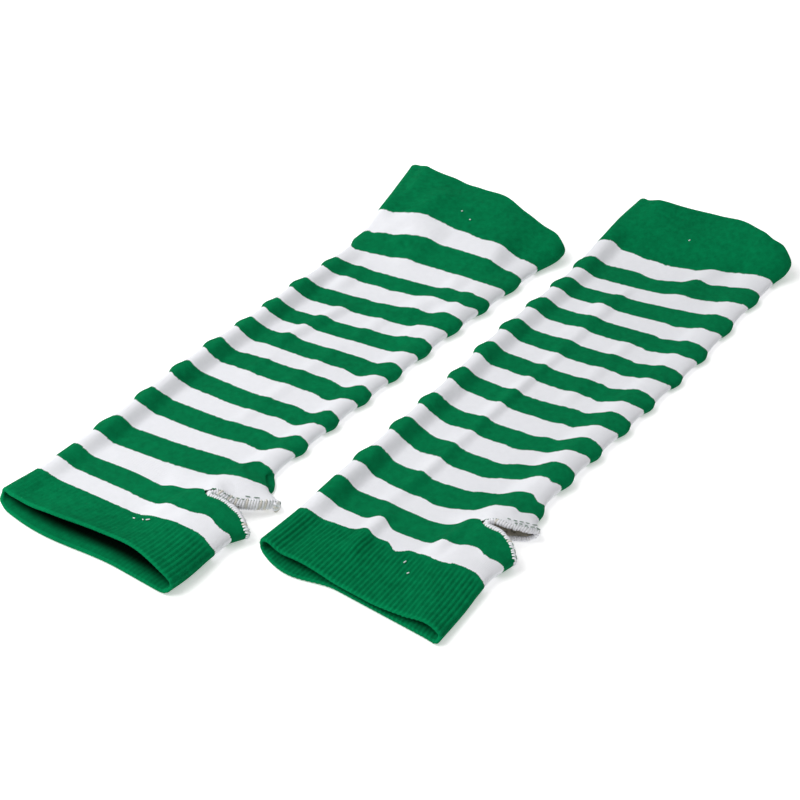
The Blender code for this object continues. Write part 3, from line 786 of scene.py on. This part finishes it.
def sleeve_rings(glove, inset, least):
    """Rings of the sleeve, from the slit to the arm cuff."""
    lip = lip_ring(glove, 1, inset, least)
    first = knit_ring(glove, start_of(glove.stripes[2]), inset, least, 0.0, LOBE_DRAW)
    rings = [mix(lip, first, t) for t in band_steps()]
    for ring, t in zip(rings, band_steps()):
        ring[:, 0] = mix(lip[:, 0], first[:, 0], 1.0 - (1.0 - t) ** 1.8)
    edges = [make(stripe) for stripe in glove.stripes[2:] for make in (start_of, end_of)][:-1]
    last = len(edges) - 2
    for j, (a, b) in enumerate(zip(edges, edges[1:])):
        for t in band_steps():
            shape = (0.0, mix(-LOBE_DRAW, 0.0, t)) if j == last else stripe_shape(t, j % 2 == 0)
            rings.append(knit_ring(glove, between(a, b, t), inset, least, *shape))
    return rings + [knit_ring(glove, edges[-1], inset, least)]


def mouth_v(mouth, u, v, z, strength):
    """Moves the lower layer out and the upper one back near the open hand end."""
    upper = ease((z - MOUTH_LOW) / (MOUTH_HIGH - MOUTH_LOW))
    reach = mouth.lower_rest + mouth.lower_reach * bump((u - mouth.lower_u) / mouth.lower_half)
    back = mouth.upper_back * bump((u - mouth.upper_u) / mouth.upper_half)
    return v - strength * reach * (1.0 - upper) + strength * back * upper


def rounded_corners(section, u, left, right):
    """Shift along the glove near its two folds."""
    return left * bump((u - section.left) / CORNER_WIDTH) + right * bump((section.right - u) / CORNER_WIDTH)


def hand_cuff_ring(glove, stop, cuff, least):
    """Placed ring of a hand cuff with its ribs."""
    strength = stop.share ** 2
    course = between(end_of(glove.stripes[0]), start_of(glove.stripes[0]), stop.share)
    count = cuff.ribs * POINTS_PER_RIB
    section, u, z = ring_outline(glove, station(course), stop.inset, count, least)
    v = mouth_v(glove.mouth, u, course_v(glove, u, section, course) + stop.shift, z, strength)
    v = v + strength * rounded_corners(section, u, *glove.corners[:2])
    faint_u, full_u, faintest = glove.ribbing
    full = mix(faintest, 1.0, ease((u - faint_u) / (full_u - faint_u)))
    depth = cuff.rib_depth / MM * ease(stop.share / RIB_START) * stop.relief
    phase = np.arange(count) / POINTS_PER_RIB
    sink = full * depth * (0.5 - 0.5 * np.cos(2.0 * np.pi * phase)) ** 1.5
    out_u, out_z = outward(u, z)
    return place(glove, u - sink * out_u, v, z - sink * out_z)


def arm_cuff_ring(glove, stop, cuff, least):
    """Placed ring of an arm cuff."""
    course = between(start_of(glove.stripes[-1]), end_of(glove.stripes[-1]), stop.share)
    section, u, z = ring_outline(glove, station(course), stop.inset, SLEEVE_POINTS, least)
    rounding = stop.share ** 2 * rounded_corners(section, u, *glove.corners[2:])
    return place(glove, u, course_v(glove, u, section, course) - stop.shift - rounding, z)


def rim_stops(steps, wall):
    """Stops of the rings out to an open rim, round it and back inside."""
    turn = 0.5 * wall
    shares = [k / steps for k in range(steps + 1)]
    corner = [math.pi * k / RIM_RINGS for k in range(1, RIM_RINGS)]
    stops = [Stop(t, 0.0, turn * t ** RIM_POWER, 1.0) for t in shares]
    for a in corner:
        stops.append(Stop(1.0, turn - turn * math.cos(a), turn - turn * math.sin(a), math.cos(a)))
    return stops + [Stop(t, wall, turn * t ** RIM_POWER, -0.6) for t in reversed(shares)]


def finish_piece(piece, node=None):
    """Lets a piece ride with the pair and, if it has one, stand for its solid."""
    if node:
        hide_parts(node)
    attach(piece, "root")


def finish_cloth(piece, node):
    """Cloth laid on the table, made to ride with the pair and stand for its solid."""
    finish_piece(piece, node)


def least_height(yarn):
    """Height of a glove that is pressed quite flat."""
    return 2.0 * yarn.wall / MM + LAYER_GAP


def knit_cuffs(context, kind, ring, wales):
    """Doubled cuffs at one end of both gloves, open at their turned rims."""
    yarn = context.scene.glove_yarn
    cuff = context.scene.glove_cuff
    materials = [
        cuff_material(kind.knit.capitalize(), yarn, kind.courses),
        # Material of the cuff's inside, darkened away from the rim as painted shade
        cuff_material("Reverse of the " + kind.knit, yarn, kind.courses, shaded_inside=True),
    ]
    stops = rim_stops(kind.rings, cuff.wall / MM)
    shares = [stop.share for stop in stops]
    outer = kind.rings + RIM_RINGS
    # Inner rings take the material with the painted shade
    shades = [0] * outer + [1] * (len(stops) - outer)
    for glove in GLOVES:
        rings = [ring(glove, stop, cuff, least_height(yarn)) for stop in stops]
        node = glove.name + "_" + kind.part
        piece = tube(node + "_knit", rings, wales, shares, materials, shades)
        finish_cloth(piece, node)
    return {"FINISHED"}


def fill(tree, node, inputs):
    """Sets each input of a node, by a link where the value is another node's socket."""
    for label, value in inputs.items():
        if isinstance(value, bpy.types.NodeSocket):
            tree.links.new(value, node.inputs[label])
        else:
            node.inputs[label].default_value = value


def add_node(tree, kind, inputs, **settings):
    """Shader node with its settings and inputs; gives its outputs."""
    node = tree.nodes.new("ShaderNode" + kind)
    for label, value in settings.items():
        setattr(node, label, value)
    fill(tree, node, inputs)
    return node.outputs


def new_group(name, inputs):
    """Empty shader node group with the given inputs."""
    group = bpy.data.node_groups.new(name, "ShaderNodeTree")
    for label, kind, value in inputs:
        socket = group.interface.new_socket(label, in_out="INPUT", socket_type="NodeSocket" + kind)
        if value is not None:
            socket.default_value = value
    return group, group.nodes.new("NodeGroupInput").outputs


def finish_group(group, results, kind="Float"):
    """Gives a node group its outputs."""
    for label in results:
        group.interface.new_socket(label, in_out="OUTPUT", socket_type="NodeSocket" + kind)
    fill(group, group.nodes.new("NodeGroupOutput"), results)
    return group


def calc(tree, operation, *values):
    """Math node over sockets or plain numbers; gives its output."""
    return add_node(tree, "Math", dict(enumerate(values)), operation=operation)[0]


def grain(tree, spot, scale, detail=2.0):
    """Noise over the surface with cells of the given number to the metre."""
    return add_node(tree, "TexNoise", {"Scale": scale, "Detail": detail, "Vector": spot})["Fac"]


def stepped(tree, value, low, high):
    """Smooth step of a value between two limits."""
    inputs = {"From Min": low, "From Max": high, "Value": value}
    return add_node(tree, "MapRange", inputs, interpolation_type="SMOOTHSTEP")["Result"]


def blended(tree, factor, first, second):
    """Colour between two others, each a socket or plain numbers."""
    return add_node(tree, "Mix", {"Factor": factor, "A": first, "B": second}, data_type="RGBA")["Result"]


def shaded(colour, factor=1.0):
    """Plain colour made darker or paler, for a socket."""
    return (*(min(1.0, factor * channel) for channel in colour), 1.0)


def stitch_group():
    """Rows of V-shaped stitches; Stitches holds the wale in x and the course in y."""
    inputs = (("Stitches", "Vector", None), ("Slant", "Float", 0.9), ("Drift", "Float", 0.0))
    group, given = new_group("Knit stitches", inputs)
    split = add_node(group, "SeparateXYZ", {0: given["Stitches"]})
    wale = split["X"]
    aside = calc(group, "ABSOLUTE", calc(group, "SUBTRACT", calc(group, "FRACT", wale), 0.5))
    course = calc(group, "SUBTRACT", split["Y"], calc(group, "MULTIPLY", aside, given["Slant"]))
    leg = calc(group, "MULTIPLY", calc(group, "SUBTRACT", aside, 0.26), 3.6)
    row = calc(group, "MULTIPLY", calc(group, "SUBTRACT", calc(group, "FRACT", course), 0.5), 1.7)
    leg, row = (calc(group, "SUBTRACT", 1.0, calc(group, "MULTIPLY", way, way)) for way in (leg, row))
    height = calc(group, "MULTIPLY", calc(group, "MAXIMUM", leg, 0.0), calc(group, "MAXIMUM", row, 0.0))
    stitch = {0: calc(group, "FLOOR", wale), 1: calc(group, "FLOOR", course)}
    cell = add_node(group, "CombineXYZ", stitch)[0]
    return finish_group(group, {
        "Height": calc(group, "SQRT", height),
        "Course": calc(group, "ADD", course, given["Drift"]),
        "Cell": add_node(group, "TexWhiteNoise", {"Vector": cell}, noise_dimensions="2D")["Value"],
    })


def cloth_group():
    """Unevenness of the cloth: slow shade, mottling, drift of the courses and fine fibres."""
    group, given = new_group("Cloth variation", (("Place", "Vector", None),))
    spot = given["Place"]
    return finish_group(group, {
        "Shade": grain(group, spot, 42.0, 3.0),
        "Mottle": grain(group, spot, 330.0, 3.0),
        "Drift": calc(group, "SUBTRACT", grain(group, spot, 520.0, 1.0), 0.5),
        "Fibre": grain(group, spot, 2600.0),
    })


def yarn_group():
    """Yarn colour made lighter and darker by its shade, mottling, fibres and each stitch."""
    weights = (("Shade", 0.45), ("Mottle", 0.8), ("Fibre", 0.3), ("Cell", 0.12))
    inputs = [("Yarn", "Color", (1.0, 1.0, 1.0, 1.0)), ("Unevenness", "Float", 1.0)]
    inputs += [(label, "Float", 0.5) for label, _ in weights]
    group, given = new_group("Yarn", inputs)
    total = 0.0
    for label, weight in weights:
        part = calc(group, "MULTIPLY", calc(group, "SUBTRACT", given[label], 0.5), weight)
        total = calc(group, "ADD", part, total)
    amount = calc(group, "MULTIPLY_ADD", total, given["Unevenness"], 1.0)
    colour = add_node(group, "VectorMath", {0: given["Yarn"], "Scale": amount}, operation="SCALE")
    return finish_group(group, {"Colour": colour["Vector"]}, "Color")


def speck_group():
    """Scattered loose ends and stitch holes, as a mask."""
    group, given = new_group("Loose ends", (("Place", "Vector", None), ("Share", "Float", 0.4)))
    cells = add_node(group, "TexVoronoi", {"Scale": 620.0, "Vector": given["Place"]})
    near = calc(group, "SUBTRACT", 1.0, stepped(group, cells["Distance"], 0.2, 0.62))
    chance = add_node(group, "SeparateColor", {0: cells["Color"]})[0]
    chosen = calc(group, "LESS_THAN", chance, given["Share"])
    return finish_group(group, {"Mask": calc(group, "MULTIPLY", near, chosen)})


GROUPS = {
    "Knit stitches": stitch_group,
    "Cloth variation": cloth_group,
    "Yarn": yarn_group,
    "Loose ends": speck_group,
}


def add_group(tree, name, inputs):
    """Places one of the shared node groups, building it the first time; gives its outputs."""
    group = bpy.data.node_groups.get(name) or GROUPS[name]()
    return add_node(tree, "Group", inputs, node_tree=group)


def cloth_material(name):
    """Material with its tree, its shader, the place and the cloth's unevenness there."""
    material = bpy.data.materials.new(name)
    material.use_nodes = True
    tree = material.node_tree
    spot = add_node(tree, "TexCoord", {})["Object"]
    variation = add_group(tree, "Cloth variation", {"Place": spot})
    return material, tree, tree.nodes["Principled BSDF"], spot, variation


def spun(tree, colour, unevenness, variation, cell=0.5):
    """Colour of one yarn over the surface."""
    inputs = {label: variation[label] for label in ("Shade", "Mottle", "Fibre")}
    inputs.update({"Yarn": colour, "Unevenness": unevenness, "Cell": cell})
    return add_group(tree, "Yarn", inputs)["Colour"]


def knit_coordinates(tree, variation, courses=1.0, drift=0.0):
    """Places the stitches by the cloth's own coordinates."""
    flat = add_node(tree, "UVMap", {}, uv_map="stitches")["UV"]
    scaled = add_node(tree, "VectorMath", {0: flat, 1: (1.0, courses, 1.0)}, operation="MULTIPLY")
    moved = calc(tree, "MULTIPLY", variation["Drift"], drift)
    return flat, add_group(tree, "Knit stitches", {"Stitches": scaled["Vector"], "Drift": moved})


def relief(tree, shader, height, strength, distance):
    inputs = {"Strength": strength, "Distance": distance, "Height": height}
    fill(tree, shader, {"Normal": add_node(tree, "Bump", inputs)["Normal"]})


def knit_surface(tree, shader, stitches, variation, colour, depth, sheen=None):
    """Dull surface of a knit: colour, relief of stitches and fibres, and a faint sheen."""
    height = calc(tree, "MULTIPLY_ADD", variation["Fibre"], 0.5, stitches["Height"])
    height = calc(tree, "MULTIPLY_ADD", variation["Mottle"], 0.8, height)
    relief(tree, shader, height, depth, 0.25 * MM)
    fill(tree, shader, {"Base Color": colour, "Roughness": 0.95, "Specular IOR Level": 0.02})
    if sheen:
        fill(tree, shader, {"Sheen Weight": 0.02, "Sheen Roughness": 0.5, "Sheen Tint": sheen})


def green_bands(tree, stitches, yarn):
    """Mask of the green stripes, which are a row longer than the white ones on their hand side."""
    row = calc(tree, "DIVIDE", calc(tree, "ADD", stitches["Course"], 1.2), 2.0 * yarn.courses)
    return calc(tree, "LESS_THAN", calc(tree, "FRACT", row), 0.5 + 0.6 / yarn.courses)


def striped_material(yarn):
    """Green and white striped knit."""
    material, tree, shader, _, variation = cloth_material("Striped knit")
    _, stitches = knit_coordinates(tree, variation, drift=1.5)
    green = spun(tree, shaded(yarn.green), 0.75, variation, stitches["Cell"])
    white = spun(tree, shaded(yarn.white), 0.09, variation, stitches["Cell"])
    colour = blended(tree, green_bands(tree, stitches, yarn), white, green)
    knit_surface(tree, shader, stitches, variation, colour, 0.8, (0.35, 0.9, 0.6, 1.0))
    return material


def reverse_material(yarn):
    """Inside of the striped knit: a duller beige for the white and green darkened as painted shade inside
    the tube, with loose ends and holes of the slit's seam.
    """
    material, tree, shader, spot, variation = cloth_material("Reverse of the knit")
    _, stitches = knit_coordinates(tree, variation, drift=2.4)
    # Green at 0.4 of the yarn's colour: painted shade inside the tube
    green = spun(tree, shaded(yarn.green, 0.4), 0.8, variation, stitches["Cell"])
    pale = spun(tree, (0.78, 0.74, 0.63, 1.0), 0.35, variation, stitches["Cell"])
    ends = add_group(tree, "Loose ends", {"Share": 0.3, "Place": spot})["Mask"]
    pale = blended(tree, calc(tree, "MULTIPLY", ends, 0.6), pale, (0.24, 0.19, 0.14, 1.0))
    colour = blended(tree, green_bands(tree, stitches, yarn), pale, green)
    knit_surface(tree, shader, stitches, variation, colour, 0.9)
    return material


def cuff_material(name, yarn, courses, shaded_inside=False):
    """Plain green knit of the cuffs, a little paler along its turned rim; inside, painted shade darkens it
    away from the rim.
    """
    material, tree, shader, _, variation = cloth_material(name)
    flat, stitches = knit_coordinates(tree, variation, courses=courses)
    colour = spun(tree, shaded(yarn.green), 0.85, variation, stitches["Cell"])
    share = add_node(tree, "SeparateXYZ", {0: flat})["Y"]
    # Inside the tube: painted shade, the yarn darkened almost to black away from the rim, where little
    # light reaches
    if shaded_inside:
        colour = blended(tree, stepped(tree, share, 0.68, 0.92), shaded(yarn.green, 0.03), colour)
    else:
        rim = calc(tree, "MULTIPLY", stepped(tree, share, 0.955, 1.0), 0.35)
        colour = blended(tree, rim, colour, shaded(yarn.green, 1.7))
    knit_surface(tree, shader, stitches, variation, colour, 0.8, (0.1, 0.95, 0.45, 1.0))
    return material


def thread_material(name, colour, unevenness=0.1):
    """Sewing yarn with faint fibres."""
    material, tree, shader, _, variation = cloth_material(name)
    colour = spun(tree, shaded(colour), unevenness, variation)
    fill(tree, shader, {"Base Color": colour, "Roughness": 0.92, "Specular IOR Level": 0.05})
    relief(tree, shader, variation["Fibre"], 0.6, 0.1 * MM)
    return material


def unit(vectors):
    """Vectors made one long."""
    return vectors / np.linalg.norm(vectors, axis=-1, keepdims=True)


def run_of(points):
    """Direction of a closed line at each of its points."""
    return unit(np.roll(points, -1, axis=0) - np.roll(points, 1, axis=0))


def around(centre, x, y, count):
    """Points of an oval round a centre, between two vectors across it."""
    turns = 2.0 * np.pi * np.arange(count)[:, None] / count
    return centre + x * np.cos(turns) + y * np.sin(turns)


def lip_path(glove, side, width, wall, least):
    """One lip of the slit: the line its edging follows, the cloth's outward side and the width."""
    reach = 0.5 * width - EDGING_GRIP
    outer = np.stack(lip_line(glove, side, 0.0, EDGE_POINTS, least), axis=-1)
    inner = np.stack(lip_line(glove, side, wall, EDGE_POINTS, least), axis=-1)
    middle = 0.5 * (outer + inner)
    out = unit((outer - inner) * (1.0, 0.0, 1.0))
    aside = unit(np.cross(out, run_of(middle)))
    aside *= np.where(aside[:, 1] * side > 0, -1.0, 1.0)[:, None]
    path = np.column_stack([middle + reach * aside, out, np.full(len(out), width)])
    path = path[middle[:, 0] > glove.thumb.lips[0].u + reach + EDGING_TURN]
    return path[::-1] if side > 0 else path


def slit_path(glove, wall, least):
    """Closed line round the thumb slit, with its outward side and width."""
    thumb = glove.thumb
    hand = lip_path(glove, -1, thumb.hand_width, wall, least)
    arm = lip_path(glove, 1, thumb.arm_width, wall, least)
    upper_end, lower_end = hand[-1].copy(), hand[0].copy()
    upper_end[:3] = 0.5 * (hand[-1, :3] + arm[0, :3])
    lower_end[:3] = 0.5 * (hand[0, :3] + arm[-1, :3])
    upper_end[0] = lower_end[0] = thumb.lips[0].u + EDGING_TURN
    return np.vstack([hand, upper_end, arm, lower_end])


def even_loop(path, spacing):
    """Closed loop resampled at even distances near the given spacing, a few to each stitch."""
    closed = np.vstack([path, path[:1]]).T
    way = walked(closed[:3])
    return evenly(closed, way, LOOP_STEPS * int(round(way[-1] / spacing / LOOP_STEPS))).T


def add_ring(bm, points):
    return [bm.verts.new(point) for point in points]


def join_rings(bm, rings, shade):
    """Faces between rings that follow each other."""
    for ring, following in zip(rings, rings[1:]):
        for j in range(len(ring)):
            face = bm.faces.new((ring[j - 1], ring[j], following[j], following[j - 1]))
            face.material_index = shade


def thread_tube(bm, centres, radius, shade):
    """Round closed thread through the given centres."""
    along = run_of(centres)
    outside = centres - centres.mean(axis=0)
    outside = radius * unit(outside - (outside * along).sum(axis=1)[:, None] * along)
    frames = zip(centres, outside, np.cross(along, outside))
    rings = [add_ring(bm, around(*frame, THREAD_SIDES)) for frame in frames]
    join_rings(bm, rings + rings[:1], shade)


def short_thread(bm, start, end, radius, shade):
    """Straight bit of thread with rounded ends."""
    axis = unit(end - start)
    aside = unit(np.cross(axis, (0.0, 0.0, 1.0)))
    up = np.cross(aside, axis)
    rings = []
    for t, share in THREAD_SHAPE:
        size = share * radius
        rings.append(add_ring(bm, around(mix(start, end, t), size * aside, size * up, THREAD_SIDES)))
    join_rings(bm, rings, shade)
    for ring in (rings[0][::-1], rings[-1]):
        bm.faces.new(ring).material_index = shade


def thread_object(bm, name, materials):
    """Linked object of the threads, none of them lower than the table."""
    for vertex in bm.verts:
        vertex.co.z = max(vertex.co.z, 0.0)
    return finish_mesh(bm, new_mesh(name, materials), 60.0)


def upper_layer(*lines):
    """Upper half of a ring's lines, from left to right."""
    half = np.array(lines)[:, len(lines[0]) // 2:]
    return half[:, np.argsort(half[0])]


def needle_row(bm, glove, row, least, chance):
    """Short needle stitches beside one lip of the slit, on the upper layer; their dark grey-green is
    painted shade of stitch holes and of the shadow under the edging's curl.
    """
    u, v, z = upper_layer(*lip_line(glove, row.side, 0.0, THREAD_POINTS, least))
    for at in np.arange(row.u_from, row.u_to, row.step):
        start = at + chance.uniform(-0.25, 0.25)
        ends = []
        for across in (start, start + NEEDLE_SHARE * row.step):
            along = np.interp(across, u, v) + row.side * (row.offset + chance.uniform(-0.15, 0.15))
            ends.append(place(glove, across, along, np.interp(across, u, z) + row.lift))
        short_thread(bm, *ends, NEEDLE_RADIUS * MM, 2)


def sew_edging(glove, wall, least, settings, threads):
    """Overlocked edge: a padded core along the slit with threads wrapped over it; the core's grey is
    painted shade seen in the gaps between the wraps.
    """
    height = 0.5 * settings.height / MM
    radius = 0.5 * settings.thread
    spacing = settings.spacing / MM
    loop = even_loop(slit_path(glove, wall, least), spacing / LOOP_STEPS)
    points = loop[:, :3]
    width = loop[:, 6:]
    along = run_of(points)
    aside = unit(np.cross(unit(loop[:, 3:6]), along))
    up = np.cross(along, aside)
    bm = bmesh.new()
    # The core's grey stands as painted shade between the wraps
    frames = zip(points, aside * (0.5 * width - 0.15), up * (height - 0.1))
    rings = [add_ring(bm, place(glove, *around(*frame, CORE_SIDES).T)) for frame in frames]
    join_rings(bm, rings + rings[:1], 1)
    chance = np.random.default_rng(7)
    for k in range(0, len(points), LOOP_STEPS):
        lean = 0.4 * spacing * chance.uniform(0.5, 1.5)
        swell = chance.uniform(0.9, 1.12)
        across = aside[k] * (0.5 * swell * width[k]) + along[k] * lean
        wrap = place(glove, *around(points[k], across, up[k] * height, WRAP_POINTS).T)
        speckled = ease((width[k, 0] - 2.0) / 1.6)
        draw = chance.uniform()
        shade = 4 if draw < 0.05 * speckled else 3 if draw < 0.02 + 0.2 * speckled else 0
        thread_tube(bm, wrap, radius * chance.uniform(0.85, 1.1), shade)
    for row in glove.needles:
        needle_row(bm, glove, row, least, chance)
    return thread_object(bm, glove.name + "_thumb_edging", threads)


def catch_lint(glove, least, thread):
    """Bits of lint lying on the cloth."""
    bm = bmesh.new()
    for bit in glove.lint:
        _, *lines = ring_outline(glove, bit.v, 0.0, LINT_POINTS, least)
        u, z = upper_layer(*lines)
        a = math.radians(bit.turn)
        ends = []
        for t in (-0.5, 0.5):
            across = bit.u + t * bit.length * math.cos(a)
            along = bit.v + t * bit.length * math.sin(a)
            ends.append(place(glove, across, along, np.interp(across, u, z) + 0.3))
        short_thread(bm, *ends, LINT_RADIUS * MM, 0)
    return thread_object(bm, glove.name + "_lint", [thread])


class GLOVE_OT_knit_bodies(Operator):
    """Knit the striped palm bands and sleeves of both gloves"""
    bl_idname = "glove.knit_bodies"
    bl_label = "Knit Striped Tubes"

    def execute(self, context):
        yarn = context.scene.glove_yarn
        least = least_height(yarn)
        materials = [striped_material(yarn), reverse_material(yarn)]
        for glove in GLOVES:
            for part, make, first in (("palm_band", palm_rings, 1), ("sleeve", sleeve_rings, 3)):
                rings = make(glove, 0.0, least)
                back = make(glove, yarn.wall / MM, least)
                rows = [(first + k / RINGS_PER_BAND) * yarn.courses for k in range(len(rings))]
                # Inner rings take the reverse material, whose darkened green is painted shade
                shades = [0] * (len(rings) - 1) + [1] * len(back) + [0]
                node = glove.name + "_" + part
                rings, rows = rings + back[::-1], rows + rows[::-1]
                piece = tube(node + "_knit", rings, yarn.wales, rows, materials, shades)
                finish_cloth(piece, node)
        return {"FINISHED"}


class GLOVE_OT_knit_hand_cuffs(Operator):
    """Knit the ribbed hand cuffs of both gloves"""
    bl_idname = "glove.knit_hand_cuffs"
    bl_label = "Knit Hand Cuffs"

    def execute(self, context):
        return knit_cuffs(context, HAND_CUFF, hand_cuff_ring, 2 * context.scene.glove_cuff.ribs)


class GLOVE_OT_knit_arm_cuffs(Operator):
    """Knit the plain arm cuffs of both gloves"""
    bl_idname = "glove.knit_arm_cuffs"
    bl_label = "Knit Arm Cuffs"

    def execute(self, context):
        return knit_cuffs(context, ARM_CUFF, arm_cuff_ring, context.scene.glove_yarn.wales)


class GLOVE_OT_sew_edgings(Operator):
    """Overlock the edges of both thumb slits"""
    bl_idname = "glove.sew_edgings"
    bl_label = "Sew Thumb Edgings"

    def execute(self, context):
        yarn = context.scene.glove_yarn
        least = least_height(yarn)
        threads = [
            thread_material("White thread", tuple(yarn.white)),
            # Core a little greyer than the thread: painted shade in the gaps between the wraps
            thread_material("Edge core", (0.76, 0.76, 0.74), 0.35),
            # Dark grey-green needle thread: painted shade of stitch holes and of the shadow under the
            # edging's curl
            thread_material("Needle thread in painted shade", (0.23, 0.30, 0.26), 0.5),
            thread_material("Beige thread", (0.70, 0.67, 0.61), 0.7),
            thread_material("Brown thread", (0.30, 0.20, 0.15), 0.6),
        ]
        for glove in GLOVES:
            piece = sew_edging(glove, yarn.wall / MM, least, context.scene.glove_edging, threads)
            finish_piece(piece, glove.name + "_thumb_binding")
            finish_piece(catch_lint(glove, least, threads[0]))
        return {"FINISHED"}


def set_table(studio):
    """Wide pale table just below the gloves, glowing a little."""
    material = bpy.data.materials.new("Table")
    material.use_nodes = True
    fill(material.node_tree, material.node_tree.nodes["Principled BSDF"], {
        "Base Color": (*studio.floor, 1.0),
        "Roughness": 0.95,
        "Specular IOR Level": 0.0,
        "Emission Color": (1.0, 1.0, 1.0, 1.0),
        "Emission Strength": studio.glow,
    })
    mesh = new_mesh("table", [material])
    half = 3.0
    corners = [(-half, -half, 0.0), (half, -half, 0.0), (half, half, 0.0), (-half, half, 0.0)]
    mesh.from_pydata(corners, [], [(0, 1, 2, 3)])
    top = add_object("table", mesh)
    top.location.z = -0.2 * MM


def look(thing, location, away):
    """Stands a lamp or camera at a place, looking against the given direction."""
    thing.location = location
    thing.rotation_euler = (-away).to_track_quat("-Z", "Y").to_euler()


def set_light(studio):
    """Even light from all round, and a large soft box at the left."""
    world = bpy.data.worlds.new("Studio")
    world.use_nodes = True
    background = world.node_tree.nodes["Background"]
    fill(world.node_tree, background, {"Color": (1.0, 1.0, 1.0, 1.0), "Strength": studio.sky})
    bpy.context.scene.world = world
    lamp = bpy.data.lights.new("soft_box", "AREA")
    lamp.shape = "SQUARE"
    lamp.size = 1.2
    lamp.energy = studio.key
    stand = Vector((-0.62, -0.45, 0.95))
    look(add_object("soft_box", lamp), stand, stand)


def set_camera(studio):
    """Camera of the photograph, by its direction, height and distance."""
    lens = bpy.data.cameras.new("camera")
    lens.lens = studio.lens
    lens.sensor_width = 36.0
    camera = add_object("camera", lens)
    away = Vector((
        math.cos(studio.elevation) * math.sin(studio.azimuth),
        -math.cos(studio.elevation) * math.cos(studio.azimuth),
        math.sin(studio.elevation),
    ))
    look(camera, Vector(studio.look_at) + studio.distance * away, away)
    bpy.context.scene.camera = camera


class GLOVE_OT_set_stage(Operator):
    """Set up the table, the soft light and the camera"""
    bl_idname = "glove.set_stage"
    bl_label = "Set Table, Light and Camera"

    def execute(self, context):
        for step in (set_table, set_light, set_camera):
            step(context.scene.glove_studio)
        context.scene.view_settings.view_transform = "Standard"
        return {"FINISHED"}


class GLOVE_PT_panel(Panel):
    bl_label = "Striped Gloves"
    bl_idname = "GLOVE_PT_panel"
    bl_space_type = "VIEW_3D"
    bl_region_type = "UI"
    bl_category = "Gloves"

    def draw(self, context):
        for name, _ in SETTINGS:
            group = getattr(context.scene, name)
            box = self.layout.box()
            for key in group.__annotations__:
                box.prop(group, key)
        for maker in MAKERS:
            self.layout.operator(maker.bl_idname)


SETTINGS = (
    ("glove_yarn", YarnSettings),
    ("glove_cuff", CuffSettings),
    ("glove_edging", EdgingSettings),
    ("glove_studio", StudioSettings),
)

MAKERS = (
    GLOVE_OT_knit_bodies,
    GLOVE_OT_knit_hand_cuffs,
    GLOVE_OT_knit_arm_cuffs,
    GLOVE_OT_sew_edgings,
    GLOVE_OT_set_stage,
)


def register():
    for name, group in SETTINGS:
        bpy.utils.register_class(group)
        setattr(bpy.types.Scene, name, PointerProperty(type=group))
    for maker in (*MAKERS, GLOVE_PT_panel):
        bpy.utils.register_class(maker)


def unregister():
    for maker in (GLOVE_PT_panel, *reversed(MAKERS)):
        bpy.utils.unregister_class(maker)
    for name, group in reversed(SETTINGS):
        delattr(bpy.types.Scene, name)
        bpy.utils.unregister_class(group)


def main():
    register()
    bpy.ops.glove.set_stage()
    bpy.ops.glove.knit_bodies()
    bpy.ops.glove.knit_hand_cuffs()
    bpy.ops.glove.knit_arm_cuffs()
    bpy.ops.glove.sew_edgings()


if __name__ == "__main__":
    main()
